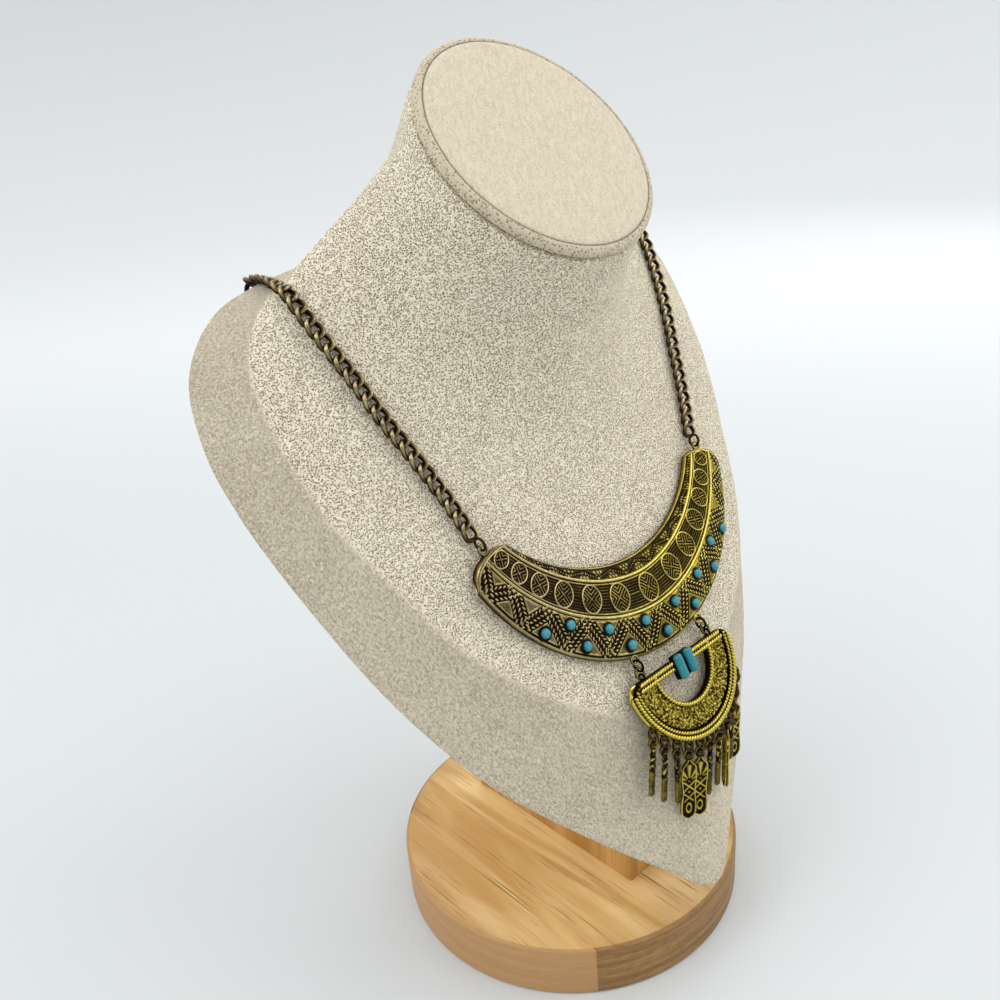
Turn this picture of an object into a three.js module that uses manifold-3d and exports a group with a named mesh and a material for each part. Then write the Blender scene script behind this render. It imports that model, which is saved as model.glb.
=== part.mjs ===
// Bib necklace on its linen neck bust and round wooden stand.
// Millimetres, +Z up. The bust faces -Y and is symmetric about X = 0.
// The origin is the centre of the stand's underside.
//
// The bust's board leans back. Its own frame, called the board frame, has its origin at the
// bust's lowest point: X across, Y up along the board and Z out of its front. The bust, the
// necklace's plates and its chain are laid out there; what hangs free is laid out upright.

import * as THREE from 'three';
import { mergeVertices } from 'three/addons/utils/BufferGeometryUtils.js';
import Module from 'manifold-3d';

const wasm = await Module();
wasm.setup();

// ---------------------------------------------------------------- driving dimensions

const GAP = 0.3; // between pieces that touch

const BASE_RADIUS = 65;
const BASE_THICKNESS = 20.3;
const BASE_EDGE = 1.2; // rounding of the base's two rims

const POST_WIDTH = 20;
const POST_FRONT = -40; // y of its front edge
const POST_BACK = 41;
const POST_TOP = 168;
const POST_EDGE = 1; // bevel of its long edges

const BOARD_LEAN = THREE.MathUtils.degToRad(61); // from the horizontal
const BOARD_FOOT = new THREE.Vector3(0, -66, 31); // the bust's lowest point

// Half outlines of the bust in the board frame, from the bottom centre to the top centre.
const REAR_OUTLINE = [
  { side: 0, up: 0 },
  { side: 20, up: 17.5 },
  { side: 46, up: 46.5 },
  { side: 66, up: 72.5 },
  { side: 84.2, up: 107 },
  { side: 98.6, up: 150 },
  { side: 105, up: 178 },
  { side: 106.2, up: 197 },
  { side: 101.5, up: 217 },
  { side: 86, up: 232.5 },
  { side: 50, up: 241.5 },
  { side: 0, up: 249 },
];
const CREASE_OUTLINE = [
  { side: 0, up: 66.2, height: 26.9 },
  { side: 13, up: 68, height: 27 },
  { side: 27, up: 74.6, height: 26.9 },
  { side: 49, up: 91.8, height: 26 },
  { side: 68.3, up: 117, height: 23 },
  { side: 79.4, up: 142, height: 20.5 },
  { side: 88, up: 165, height: 18.6 },
  { side: 91.7, up: 190, height: 17.2 },
  { side: 89.6, up: 213, height: 16.4 },
  { side: 76, up: 229.5, height: 16.2 },
  { side: 46, up: 237.5, height: 18 },
  { side: 0, up: 245, height: 21 },
];
const PANEL_SWELL = { middle: 0.8, sides: 13 }; // how far the panel domes over its rim
const NECK_SWEEP = { front: 5.4, nape: 2.6, shoulder: 1.9 }; // fillet power: high hugs the neck
// The neck drops straight from the cap before it spreads: by the least drop all round, and
// over each shoulder (angle and spread in degrees round the neck) by the whole drop more,
// where it also draws in; the swell is of the shoulder under it.
const NECK_WALL = { least: 2.5, angle: 131, spread: 19, drop: 18, draw: 3.6, swell: 6 };
const BACK_HEIGHT = 2; // of the flat back face over the board plane
const BACK_INSET = 3;
const REAR_HEIGHT = 5.5; // of the widest rim
const BUST_SIDES = 60; // points round each ring of the bust

const CAP_CENTRE = new THREE.Vector3(0, -6.5, 274.5); // of the cap's top face
const CAP_TILT = THREE.MathUtils.degToRad(47.9); // forward from level
const CAP_RADIUS = 39.4;
const CAP_THICKNESS = 4.1;
const NECK_RADIUS = 40.2; // where the cap is sewn on

// The collar plate is bounded by two arcs that are not concentric.
const COLLAR_INNER = { centre: 172.1, radius: 54.3 };
const COLLAR_OUTER = { centre: 148.5, radius: 61.5 };
const COLLAR_END_ANGLES = [53.5, 34, -13]; // degrees: constant, linear and square term across
const COLLAR_BEND = 1.2; // how far the ends bend back at 55 mm from the middle
const COLLAR_STATIONS = 32;
// Top and underside of the plate from its inner (0) to its outer (1) edge; the two low
// ridges bound the band of medallions.
const COLLAR_SECTION = [
  { across: 0, top: 29.9, under: 28.9 },
  { across: 0.04, top: 31.1, under: 28.9 },
  { across: 0.15, top: 31.9, under: 29 },
  { across: 0.18, top: 32.6, under: 29 },
  { across: 0.21, top: 32, under: 29 },
  { across: 0.37, top: 32.3, under: 29.1 },
  { across: 0.52, top: 32.4, under: 29.1 },
  { across: 0.55, top: 33.1, under: 29.1 },
  { across: 0.58, top: 32.4, under: 29.1 },
  { across: 0.8, top: 31.9, under: 29.1 },
  { across: 0.96, top: 31.2, under: 29 },
  { across: 1, top: 30.2, under: 28.9 },
];
const CHAIN_LUG = new THREE.Vector3(51.3, 139.9, 29);
const CHAIN_LUG_STEM = 3.4; // from the lug's hole down into the plate
const HANGER_LUG = new THREE.Vector3(16.3, 88.5, 30.4);

const CABOCHON_RADIUS = 1.65;
const CABOCHON_RISE = 1.3;
// One side's turquoise stones on the collar; the one at side 0 is there once.
const CABOCHONS = [
  { row: 'lower', side: 0, up: 91.2, seat: 32.4 },
  { row: 'lower', side: 16.4, up: 93.5, seat: 32.3 },
  { row: 'lower', side: 32.3, up: 100.5, seat: 32 },
  { row: 'lower', side: 44.4, up: 110.2, seat: 31.8 },
  { row: 'upper', side: 7.6, up: 97.9, seat: 32.8 },
  { row: 'upper', side: 22.5, up: 101.6, seat: 32.6 },
  { row: 'upper', side: 35.2, up: 108.7, seat: 32.3 },
];

const PENDANT_CENTRE = 80.3; // height of its arcs' centre up the board
const PENDANT_OUTER = 25;
const PENDANT_INNER = 12.8;
const PENDANT_HORN = 82.2; // height of the horns' flat tops
const PENDANT_UNDER = 30;
const PENDANT_TOP = 32.4;
const BAR_WIDTH = 3.4;
const BAR_HEIGHT = 80;
const SETTING = { width: 9, length: 8.2 };
const TUBE_STONE = { side: 2.45, up: 79.6, length: 7.8, radius: 1.75, seat: 33.6 };
const PENDANT_LUG = new THREE.Vector3(17, 82.9, 31.1);

const LUG = { outer: 1.85, hole: 1.1, thickness: 0.9 };
const SMALL_LUG = { outer: 1.5, hole: 0.85, thickness: 0.9 };

const WIRE = 0.36; // radius of the jump rings' wire
const CHAIN_RING_RADIUS = 2;
const HANGER_TOP_RING = { up: 86.6, height: 30.9, radius: 1.85 };
const HANGER_LOW_RING = { up: 84.4, height: 30.9, radius: 1.75 };
const DROP_RING_RADIUS = 2.2;

const DROP_STEP = THREE.MathUtils.degToRad(11.5); // between lugs round the pendant
const DROP_LUG_RADIUS = 26;
const DROP_LUG_HEIGHT = 31;
const BAR_DROP = { length: 19, width: 2.1, thickness: 1.4 };
const PADDLE_DROP = { length: 24.4, width: 5.6, thickness: 1.3 };
// Swing is sideways in the drop's own plane and turn is about the upright, in degrees. A
// drop's jump ring takes a part of its turn.
const RING_TURN = 0.3;
const DROPS = [
  { place: -5, shape: 'bar', swing: -4, turn: 0 },
  { place: -4, shape: 'bar', swing: -2, turn: 0 },
  { place: -3, shape: 'bar', swing: 1.5, turn: 0 },
  { place: -2, shape: 'paddle', swing: -1, turn: -30 },
  { place: -1, shape: 'paddle', swing: -1, turn: -34 },
  { place: 0, shape: 'bar', swing: -2, turn: 0 },
  { place: 1, shape: 'bar', swing: -2, turn: 0 },
  { place: 2, shape: 'paddle', swing: 0, turn: 48 },
  { place: 3, shape: 'bar', swing: 0, turn: 0 },
  { place: 4, shape: 'paddle', swing: 1.5, turn: -12 },
  { place: 5, shape: 'bar', swing: 1, turn: 0 },
];

const LINK = { pitch: 4.2, thickness: 2.1 };
const LINK_SIDES = 6; // corners of the chain's section
// Width of the chain along one link, from one lap to the next.
const LINK_STATIONS = [
  { place: 0.05, width: 2.6 },
  { place: 0.3, width: 4.4 },
  { place: 0.7, width: 4.4 },
];
// The chain's two routes over the front of the bust, in the board frame with side measured
// outwards; both end in the same run over the shoulder.
const CHAIN_FRONT = {
  left: [
    { side: 51.9, up: 144.4, height: 27.5 },
    { side: 54.4, up: 156, height: 27.5 },
    { side: 60, up: 174.5, height: 27.5 },
    { side: 63.6, up: 185, height: 27.6 },
    { side: 66.6, up: 195, height: 28 },
    { side: 69.8, up: 206, height: 27.8 },
    { side: 72.2, up: 215, height: 27.2 },
  ],
  right: [
    { side: 52.4, up: 144.4, height: 27.5 },
    { side: 57.2, up: 156, height: 27.4 },
    { side: 63.2, up: 174.5, height: 27.3 },
    { side: 66.8, up: 185, height: 27.3 },
    { side: 69.5, up: 195, height: 27.3 },
    { side: 71.6, up: 206, height: 27.3 },
    { side: 72.9, up: 215, height: 27 },
  ],
};
const CHAIN_SHOULDER = [
  { side: 73.8, up: 222.3, height: 26.1 },
  { side: 75, up: 228.2, height: 23.9 },
  { side: 75.6, up: 232.8, height: 19 },
  { side: 75, up: 236, height: 13.5 },
  { side: 74, up: 238.6, height: 8 },
  { side: 73.1, up: 240.4, height: 3.2 },
  { side: 72.9, up: 241, height: 0.8 },
];
const CHAIN_BACK_TOP = { side: 72.9, back: 51.2, height: 240 };
const CHAIN_BACK_SAG = 58; // how far the back stretch hangs below its two ends
const CLASP = { length: 12, width: 5.5, thickness: 2.6 };

// ---------------------------------------------------------------- materials

const FINISHES = {
  wood: { color: 0xcf9f68, roughness: 0.55, metalness: 0 },
  linen: { color: 0xc9beaa, roughness: 0.95, metalness: 0 },
  suede: { color: 0xcdc0a9, roughness: 0.9, metalness: 0 },
  brass: { color: 0x8a7a2e, roughness: 0.38, metalness: 1 },
  turquoise: { color: 0x2f98a4, roughness: 0.35, metalness: 0 },
};

function finish(name) {
  return new THREE.MeshStandardMaterial(FINISHES[name]);
}

// ---------------------------------------------------------------- solids

function toSolid(geometry) {
  const bare = geometry.clone();
  bare.deleteAttribute('normal');
  bare.deleteAttribute('uv');
  const merged = mergeVertices(bare, 1e-4);
  const mesh = new wasm.Mesh({
    numProp: 3,
    vertProperties: Float32Array.from(merged.attributes.position.array),
    triVerts: Uint32Array.from(merged.index.array),
  });
  return new wasm.Manifold(mesh);
}

function toGeometry(solid) {
  const mesh = solid.getMesh();
  const geometry = new THREE.BufferGeometry();
  geometry.setAttribute('position', new THREE.BufferAttribute(mesh.vertProperties, 3));
  geometry.setIndex(new THREE.BufferAttribute(mesh.triVerts, 1));
  geometry.computeVertexNormals();
  return geometry;
}

// Skin over rings of equal point count, closed by a fan at each end.
function loft(rings) {
  const count = rings[0].length;
  const corners = rings.flat();
  const middle = (ring) => ring
    .reduce((sum, point) => sum.add(point), new THREE.Vector3())
    .divideScalar(count);
  const first = corners.length;
  const last = first + 1;
  corners.push(middle(rings[0]), middle(rings[rings.length - 1]));
  const faces = [];
  const end = (rings.length - 1) * count;
  for (let side = 0; side < count; side += 1) {
    const next = (side + 1) % count;
    faces.push(first, next, side);
    faces.push(last, end + side, end + next);
    for (let row = 0; row < end; row += count) {
      faces.push(row + side, row + next, row + count + side);
      faces.push(row + next, row + count + next, row + count + side);
    }
  }
  const geometry = new THREE.BufferGeometry();
  const values = corners.flatMap((point) => point.toArray());
  geometry.setAttribute('position', new THREE.Float32BufferAttribute(values, 3));
  geometry.setIndex(faces);
  geometry.computeVertexNormals();
  return geometry;
}

// A flat ring with a round hole, lying in its XY plane.
function lugGeometry(size) {
  const outline = new THREE.Shape().absarc(0, 0, size.outer, 0, Math.PI * 2);
  outline.holes.push(new THREE.Path().absarc(0, 0, size.hole, 0, Math.PI * 2, true));
  const options = { depth: size.thickness, bevelEnabled: false, curveSegments: 4 };
  return new THREE.ExtrudeGeometry(outline, options).translate(0, 0, -size.thickness / 2);
}

function holeGeometry(size) {
  const tall = size.thickness * 4;
  return new THREE.CylinderGeometry(size.hole, size.hole, tall, 8).rotateX(Math.PI / 2);
}

function ringGeometry(radius) {
  return new THREE.TorusGeometry(radius, WIRE, 4, 10);
}

function mesh(name, geometry, material) {
  const piece = new THREE.Mesh(geometry, material);
  piece.name = name;
  return piece;
}

// ---------------------------------------------------------------- stand

function standBase() {
  const profile = [
    new THREE.Vector2(0, 0),
    new THREE.Vector2(BASE_RADIUS - BASE_EDGE, 0),
    new THREE.Vector2(BASE_RADIUS, BASE_EDGE),
    new THREE.Vector2(BASE_RADIUS, BASE_THICKNESS - BASE_EDGE),
    new THREE.Vector2(BASE_RADIUS - BASE_EDGE, BASE_THICKNESS),
    new THREE.Vector2(0, BASE_THICKNESS),
  ];
  const disc = new THREE.LatheGeometry(profile, 64).rotateX(Math.PI / 2);
  return mesh('stand_base', disc, finish('wood'));
}

// The post's outline seen from the side: upright at the back, sloped under the board.
function standPost() {
  const slope = Math.tan(BOARD_LEAN);
  const clear = (BACK_HEIGHT - GAP) / Math.cos(BOARD_LEAN);
  const boardAt = (back) => BOARD_FOOT.z + clear + (back - BOARD_FOOT.y) * slope;
  const topFront = BOARD_FOOT.y + (POST_TOP - BOARD_FOOT.z - clear) / slope;
  const foot = BASE_THICKNESS + GAP;
  const outline = new THREE.Shape([
    new THREE.Vector2(POST_FRONT + POST_EDGE, foot + POST_EDGE),
    new THREE.Vector2(POST_BACK - POST_EDGE, foot + POST_EDGE),
    new THREE.Vector2(POST_BACK - POST_EDGE, POST_TOP - POST_EDGE),
    new THREE.Vector2(topFront + POST_EDGE, POST_TOP - POST_EDGE),
    new THREE.Vector2(POST_FRONT + POST_EDGE, boardAt(POST_FRONT) - POST_EDGE),
  ]);
  const slab = new THREE.ExtrudeGeometry(outline, {
    depth: POST_WIDTH - POST_EDGE * 2,
    bevelThickness: POST_EDGE,
    bevelSize: POST_EDGE,
    bevelSegments: 1,
  });
  slab.translate(0, 0, POST_EDGE - POST_WIDTH / 2);
  slab.applyMatrix4(new THREE.Matrix4().set(
    0, 0, 1, 0,
    1, 0, 0, 0,
    0, 1, 0, 0,
    0, 0, 0, 1,
  ));
  return mesh('stand_post', slab, finish('wood'));
}

// ---------------------------------------------------------------- bust

// A closed outline from its half table, as evenly spaced points.
function outlinePoints(half) {
  const right = half.map(({ side, up, height = REAR_HEIGHT }) => (
    new THREE.Vector3(side, up, height)));
  const left = right.slice(1, -1).reverse().map(({ x, y, z }) => new THREE.Vector3(-x, y, z));
  const curve = new THREE.CatmullRomCurve3([...right, ...left], true);
  return curve.getSpacedPoints(BUST_SIDES).slice(0, BUST_SIDES);
}

// The neck's angle for each outline point: crowded at the front, where the panel is long.
function neckAngle(index) {
  const half = BUST_SIDES / 2;
  const share = Math.abs(index <= half ? index : BUST_SIDES - index) / half;
  const angle = Math.PI * share ** 1.7;
  return index <= half ? angle : -angle;
}

// How far a place round the neck takes part in its walls over the shoulders, from 0 to 1.
function wallShare(angle) {
  const turn = Math.abs(THREE.MathUtils.radToDeg(angle)) - NECK_WALL.angle;
  return Math.exp(-((turn / NECK_WALL.spread) ** 2));
}

// A ring of the neck in world space, from 0 at the cap's seam to 1 at the foot of its walls.
function neckRing(share) {
  const normal = new THREE.Vector3(0, -Math.sin(CAP_TILT), Math.cos(CAP_TILT));
  const down = new THREE.Vector3(0, -Math.cos(CAP_TILT), -Math.sin(CAP_TILT));
  return Array.from({ length: BUST_SIDES }, (_, index) => {
    const angle = neckAngle(index);
    const wall = wallShare(angle) * share;
    const radius = NECK_RADIUS - NECK_WALL.draw * wall;
    return CAP_CENTRE.clone()
      .addScaledVector(normal, -CAP_THICKNESS - GAP - NECK_WALL.least * share)
      .addScaledVector(normal, -NECK_WALL.drop * wall)
      .addScaledVector(down, radius * Math.cos(angle))
      .add(new THREE.Vector3(radius * Math.sin(angle), 0, 0));
  });
}

function insetRing(outline, inset, height) {
  const middle = new THREE.Vector3(0, 150, 0);
  return outline.map((point) => {
    const inward = middle.clone().sub(point).setLength(inset);
    return point.clone().add(inward).setZ(height);
  });
}

// The rings run from the flat back over the rim, the bevelled skirt and the crease, then
// sweep up the front panel into the neck.
function bustForm(toBoard) {
  const rear = outlinePoints(REAR_OUTLINE);
  const crease = outlinePoints(CREASE_OUTLINE);
  const wall = (share) => neckRing(share).map((point) => point.applyMatrix4(toBoard));
  const neck = wall(1);

  const skirt = (share, drop) => rear.map((point, index) => point.clone()
    .lerp(crease[index], share)
    .add(new THREE.Vector3(0, 0, -drop)));
  const panel = (share) => crease.map((point, index) => {
    const angle = neckAngle(index);
    const nape = ((1 - Math.cos(angle)) / 2) ** 8;
    const shoulder = wallShare(angle);
    const sweep = THREE.MathUtils.lerp(NECK_SWEEP.front, NECK_SWEEP.nape, nape);
    const power = THREE.MathUtils.lerp(sweep, NECK_SWEEP.shoulder, shoulder);
    const swell = PANEL_SWELL.middle + NECK_WALL.swell * shoulder
      + PANEL_SWELL.sides * Math.abs(Math.sin(angle)) ** 1.3;
    const rise = neck[index].z - point.z - swell;
    const height = point.z + swell * (1 - share ** 2) + rise * (1 - share) ** power;
    return neck[index].clone().lerp(point, share).setZ(height);
  });
  const rings = [
    insetRing(rear, BACK_INSET, BACK_HEIGHT),
    insetRing(rear, BACK_INSET * 0.25, BACK_HEIGHT + 1),
    insetRing(rear, 0, REAR_HEIGHT),
    skirt(0.3, 0),
    skirt(0.65, 0),
    skirt(0.93, 0.2),
    ...[0.98, 0.9, 0.78, 0.65, 0.52, 0.4, 0.29, 0.2, 0.12, 0.05].map(panel),
    ...[1, 0.66, 0.33, 0].map(wall),
  ];
  return mesh('bust_form', loft(rings), finish('linen'));
}

function neckCap() {
  const profile = [
    new THREE.Vector2(0, 0),
    new THREE.Vector2(CAP_RADIUS - 0.6, 0),
    new THREE.Vector2(CAP_RADIUS + 0.4, 0.9),
    new THREE.Vector2(CAP_RADIUS, CAP_THICKNESS - 0.8),
    new THREE.Vector2(CAP_RADIUS - 0.9, CAP_THICKNESS),
    new THREE.Vector2(0, CAP_THICKNESS),
  ];
  const disc = new THREE.LatheGeometry(profile, 56).translate(0, -CAP_THICKNESS, 0);
  const piece = mesh('neck_cap', disc.rotateX(Math.PI / 2), finish('suede'));
  piece.position.copy(CAP_CENTRE);
  piece.rotation.x = CAP_TILT;
  return piece;
}

// ---------------------------------------------------------------- collar plate

// A point of the collar plate's plan: along runs from -1 to 1 between its two ends, and
// across from 0 at the inner edge to 1 at the outer one.
function collarPoint(along, across, height) {
  const centre = THREE.MathUtils.lerp(COLLAR_INNER.centre, COLLAR_OUTER.centre, across);
  const radius = THREE.MathUtils.lerp(COLLAR_INNER.radius, COLLAR_OUTER.radius, across);
  const [constant, linear, square] = COLLAR_END_ANGLES;
  const end = constant + linear * across + square * across ** 2;
  const angle = THREE.MathUtils.degToRad(end) * along;
  const side = radius * Math.sin(angle);
  const bend = COLLAR_BEND * (side / 55) ** 2;
  return new THREE.Vector3(side, centre - radius * Math.cos(angle), height - bend);
}

function collarPlate() {
  const rings = Array.from({ length: COLLAR_STATIONS + 1 }, (_, station) => {
    const along = (2 * station) / COLLAR_STATIONS - 1;
    const top = COLLAR_SECTION.map((row) => collarPoint(along, row.across, row.top));
    const under = COLLAR_SECTION
      .filter((_row, index) => index % 2 === 0 || index === COLLAR_SECTION.length - 1)
      .map((row) => collarPoint(along, row.across, row.under));
    return [...top, ...under.reverse()];
  });
  const lugs = [];
  const holes = [];
  [-1, 1].forEach((sign) => {
    [CHAIN_LUG, HANGER_LUG].forEach((place) => {
      const spot = [sign * place.x, place.y, place.z];
      lugs.push(lugGeometry(LUG).translate(...spot));
      holes.push(holeGeometry(LUG).translate(...spot));
    });
    const stem = new THREE.BoxGeometry(LUG.outer, CHAIN_LUG_STEM, LUG.thickness);
    stem.translate(sign * CHAIN_LUG.x, CHAIN_LUG.y - CHAIN_LUG_STEM / 2 - LUG.hole, CHAIN_LUG.z);
    lugs.push(stem);
  });
  const whole = [loft(rings), ...lugs].map(toSolid).reduce((sum, next) => sum.add(next));
  const pierced = holes.map(toSolid).reduce((rest, hole) => rest.subtract(hole), whole);
  return mesh('collar_plate', toGeometry(pierced), finish('brass'));
}

function cabochon(name, { up, seat }, side) {
  const dome = new THREE.LatheGeometry([
    new THREE.Vector2(0, 0),
    new THREE.Vector2(CABOCHON_RADIUS, 0),
    new THREE.Vector2(CABOCHON_RADIUS * 0.75, CABOCHON_RISE * 0.75),
    new THREE.Vector2(0, CABOCHON_RISE),
  ], 10).rotateX(Math.PI / 2);
  const piece = mesh(name, dome, finish('turquoise'));
  const bend = COLLAR_BEND * (side / 55) ** 2;
  piece.position.set(side, up, seat + GAP - bend);
  return piece;
}

function cabochons() {
  const names = { lower: 0, upper: 0 };
  return CABOCHONS.flatMap((stone) => {
    const sides = stone.side === 0 ? [0] : [-stone.side, stone.side];
    return sides.map((side) => {
      names[stone.row] += 1;
      return cabochon(`cabochon_${stone.row}_${names[stone.row]}`, stone, side);
    });
  });
}

// ---------------------------------------------------------------- pendant

function pendantOutline() {
  const reach = Math.acos((PENDANT_CENTRE - PENDANT_HORN) / PENDANT_OUTER);
  const innerReach = Math.acos((PENDANT_CENTRE - PENDANT_HORN) / PENDANT_INNER);
  const outer = -Math.PI / 2;
  const outline = new THREE.Shape();
  outline.absarc(0, PENDANT_CENTRE, PENDANT_OUTER, outer - reach, outer + reach);
  outline.absarc(0, PENDANT_CENTRE, PENDANT_INNER, outer + innerReach, outer - innerReach, true);
  return outline;
}

function boxGeometry(width, length, low, high, up) {
  const box = new THREE.BoxGeometry(width, length, high - low);
  return box.translate(0, up, (low + high) / 2);
}

function dropLug(place) {
  const angle = place * DROP_STEP;
  return new THREE.Vector3(
    DROP_LUG_RADIUS * Math.sin(angle),
    PENDANT_CENTRE - DROP_LUG_RADIUS * Math.cos(angle),
    DROP_LUG_HEIGHT,
  );
}

// The cast half moon with its bar, its stone setting and all of its lugs is one piece.
function pendantPlate() {
  const plate = new THREE.ExtrudeGeometry(pendantOutline(), {
    depth: PENDANT_TOP - PENDANT_UNDER - 0.8,
    bevelThickness: 0.8,
    bevelSize: 0.6,
    bevelOffset: -0.6,
    bevelSegments: 1,
    curveSegments: 20,
  }).translate(0, 0, PENDANT_UNDER + 0.4);
  const bar = boxGeometry(PENDANT_INNER * 2 + 3, BAR_WIDTH, 30.6, 32.6, BAR_HEIGHT);
  const setting = boxGeometry(SETTING.width, SETTING.length, 30.8, 33.3, TUBE_STONE.up);
  const solids = [plate, bar, setting].map(toSolid);
  const holes = [];
  DROPS.forEach(({ place }) => {
    const spot = dropLug(place).toArray();
    solids.push(toSolid(lugGeometry(LUG).translate(...spot)));
    holes.push(toSolid(holeGeometry(LUG).translate(...spot)));
  });
  [-1, 1].forEach((sign) => {
    const spot = [sign * PENDANT_LUG.x, PENDANT_LUG.y, PENDANT_LUG.z];
    solids.push(toSolid(lugGeometry(SMALL_LUG).rotateY(Math.PI / 2).translate(...spot)));
    holes.push(toSolid(holeGeometry(SMALL_LUG).rotateY(Math.PI / 2).translate(...spot)));
  });
  const whole = solids.reduce((sum, next) => sum.add(next));
  const pierced = holes.reduce((rest, hole) => rest.subtract(hole), whole);
  return mesh('pendant_plate', toGeometry(pierced), finish('brass'));
}

function tubeStone(name, side) {
  const { radius, length, up, seat } = TUBE_STONE;
  const section = new THREE.Shape();
  section.absarc(0, 0, radius, 0, Math.PI);
  section.closePath();
  const options = { depth: length, bevelEnabled: false, curveSegments: 8 };
  const stone = new THREE.ExtrudeGeometry(section, options).translate(0, 0, -length / 2);
  stone.rotateX(Math.PI / 2);
  const piece = mesh(name, stone, finish('turquoise'));
  piece.position.set(side, up, seat);
  return piece;
}

// ---------------------------------------------------------------- rings and drops

function hangerRings() {
  return [-1, 1].flatMap((sign) => {
    const side = sign < 0 ? 'left' : 'right';
    const top = mesh(
      `hanger_ring_top_${side}`,
      ringGeometry(HANGER_TOP_RING.radius).rotateY(Math.PI / 2),
      finish('brass'),
    );
    top.position.set(sign * HANGER_LUG.x, HANGER_TOP_RING.up, HANGER_TOP_RING.height);
    const low = mesh(
      `hanger_ring_low_${side}`,
      ringGeometry(HANGER_LOW_RING.radius),
      finish('brass'),
    );
    low.position.set(sign * PENDANT_LUG.x, HANGER_LOW_RING.up, HANGER_LOW_RING.height);
    return [top, low];
  });
}

function dropOutline(shape) {
  const { length, width } = shape === 'bar' ? BAR_DROP : PADDLE_DROP;
  const half = width / 2;
  const neck = Math.min(half, 0.8);
  const outline = new THREE.Shape();
  outline.moveTo(-neck, -SMALL_LUG.hole);
  outline.lineTo(-half, -SMALL_LUG.outer - half * 1.2);
  outline.lineTo(-half, -length + half);
  outline.absarc(0, -length + half, half, Math.PI, Math.PI * 2);
  outline.lineTo(half, -SMALL_LUG.outer - half * 1.2);
  outline.lineTo(neck, -SMALL_LUG.hole);
  outline.closePath();
  return outline;
}

function dropGeometry(shape) {
  const { thickness } = shape === 'bar' ? BAR_DROP : PADDLE_DROP;
  const options = { depth: thickness, bevelEnabled: false, curveSegments: 4 };
  const body = new THREE.ExtrudeGeometry(dropOutline(shape), options);
  body.translate(0, 0, -thickness / 2);
  const whole = toSolid(body).add(toSolid(lugGeometry(SMALL_LUG)));
  const pierced = whole.subtract(toSolid(holeGeometry(SMALL_LUG)));
  return toGeometry(pierced).rotateX(Math.PI / 2);
}

// Each drop hangs upright from a jump ring through its lug on the pendant.
function drops(fromBoard) {
  return DROPS.flatMap(({ place, shape, swing, turn }, index) => {
    const lug = dropLug(place).applyMatrix4(fromBoard);
    const ring = mesh(
      `drop_ring_${index + 1}`,
      ringGeometry(DROP_RING_RADIUS).rotateY(Math.PI / 2),
      finish('brass'),
    );
    ring.position.set(lug.x, lug.y, lug.z - DROP_RING_RADIUS);
    ring.rotation.z = THREE.MathUtils.degToRad(turn * RING_TURN);
    const drop = mesh(`drop_${shape}_${index + 1}`, dropGeometry(shape), finish('brass'));
    drop.position.set(lug.x, lug.y, lug.z - 2 * DROP_RING_RADIUS);
    drop.rotation.set(0, THREE.MathUtils.degToRad(-swing), THREE.MathUtils.degToRad(turn));
    return [ring, drop];
  });
}

// ---------------------------------------------------------------- chain

// One section across the chain: a flat hexagon, wide at a link and narrow where two lap.
function linkSection(centre, along, outward, halfWidth) {
  const across = outward.clone().cross(along).normalize();
  const level = along.clone().cross(across);
  return Array.from({ length: LINK_SIDES }, (_, corner) => {
    const angle = (Math.PI * 2 * corner) / LINK_SIDES;
    return centre.clone()
      .addScaledVector(across, halfWidth * Math.cos(angle))
      .addScaledVector(level, LINK.thickness / 2 * Math.sin(angle));
  });
}

// Links of one stretch, joined along their thread.
function chainStretch(name, curve, outwardAt) {
  const length = curve.getLength();
  const count = Math.floor(length / LINK.pitch);
  const sections = [];
  for (let link = 0; link < count; link += 1) {
    LINK_STATIONS.forEach(({ place, width }) => {
      const share = (link + place) / count;
      const along = curve.getTangentAt(share);
      const outward = outwardAt(along);
      sections.push(linkSection(curve.getPointAt(share), along, outward, width / 2));
    });
  }
  return mesh(name, loft(sections), finish('brass'));
}

function frontCurve(sign, fromBoard) {
  const route = [...CHAIN_FRONT[sign < 0 ? 'left' : 'right'], ...CHAIN_SHOULDER];
  const points = route.map(({ side, up, height }) => (
    new THREE.Vector3(sign * side, up, height).applyMatrix4(fromBoard)));
  return new THREE.CatmullRomCurve3(points);
}

// The back stretch hangs as a catenary between the two shoulders, in an upright plane.
function backCurve(sign) {
  const { side, back, height } = CHAIN_BACK_TOP;
  const start = CLASP.length / 2 + GAP;
  let pull = 60;
  for (let round = 0; round < 40; round += 1) {
    const sag = pull * (Math.cosh(side / pull) - 1);
    pull *= (sag / CHAIN_BACK_SAG) ** 0.5;
  }
  const lowest = height - CHAIN_BACK_SAG;
  const points = Array.from({ length: 11 }, (_, index) => {
    const x = THREE.MathUtils.lerp(side, start, index / 10);
    return new THREE.Vector3(sign * x, back, lowest + pull * (Math.cosh(x / pull) - 1));
  });
  return new THREE.CatmullRomCurve3(points);
}

function chain(fromBoard) {
  const up = new THREE.Vector3(0, 1, 0);
  const boardOut = new THREE.Vector3(0, -Math.sin(BOARD_LEAN), Math.cos(BOARD_LEAN));
  return [-1, 1].flatMap((sign) => {
    const side = sign < 0 ? 'left' : 'right';
    const overShoulder = (along) => {
      const out = boardOut.clone();
      return out.addScaledVector(along, -out.dot(along)).normalize();
    };
    return [
      chainStretch(`chain_${side}`, frontCurve(sign, fromBoard), overShoulder),
      chainStretch(`chain_back_${side}`, backCurve(sign), () => up),
    ];
  });
}

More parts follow.
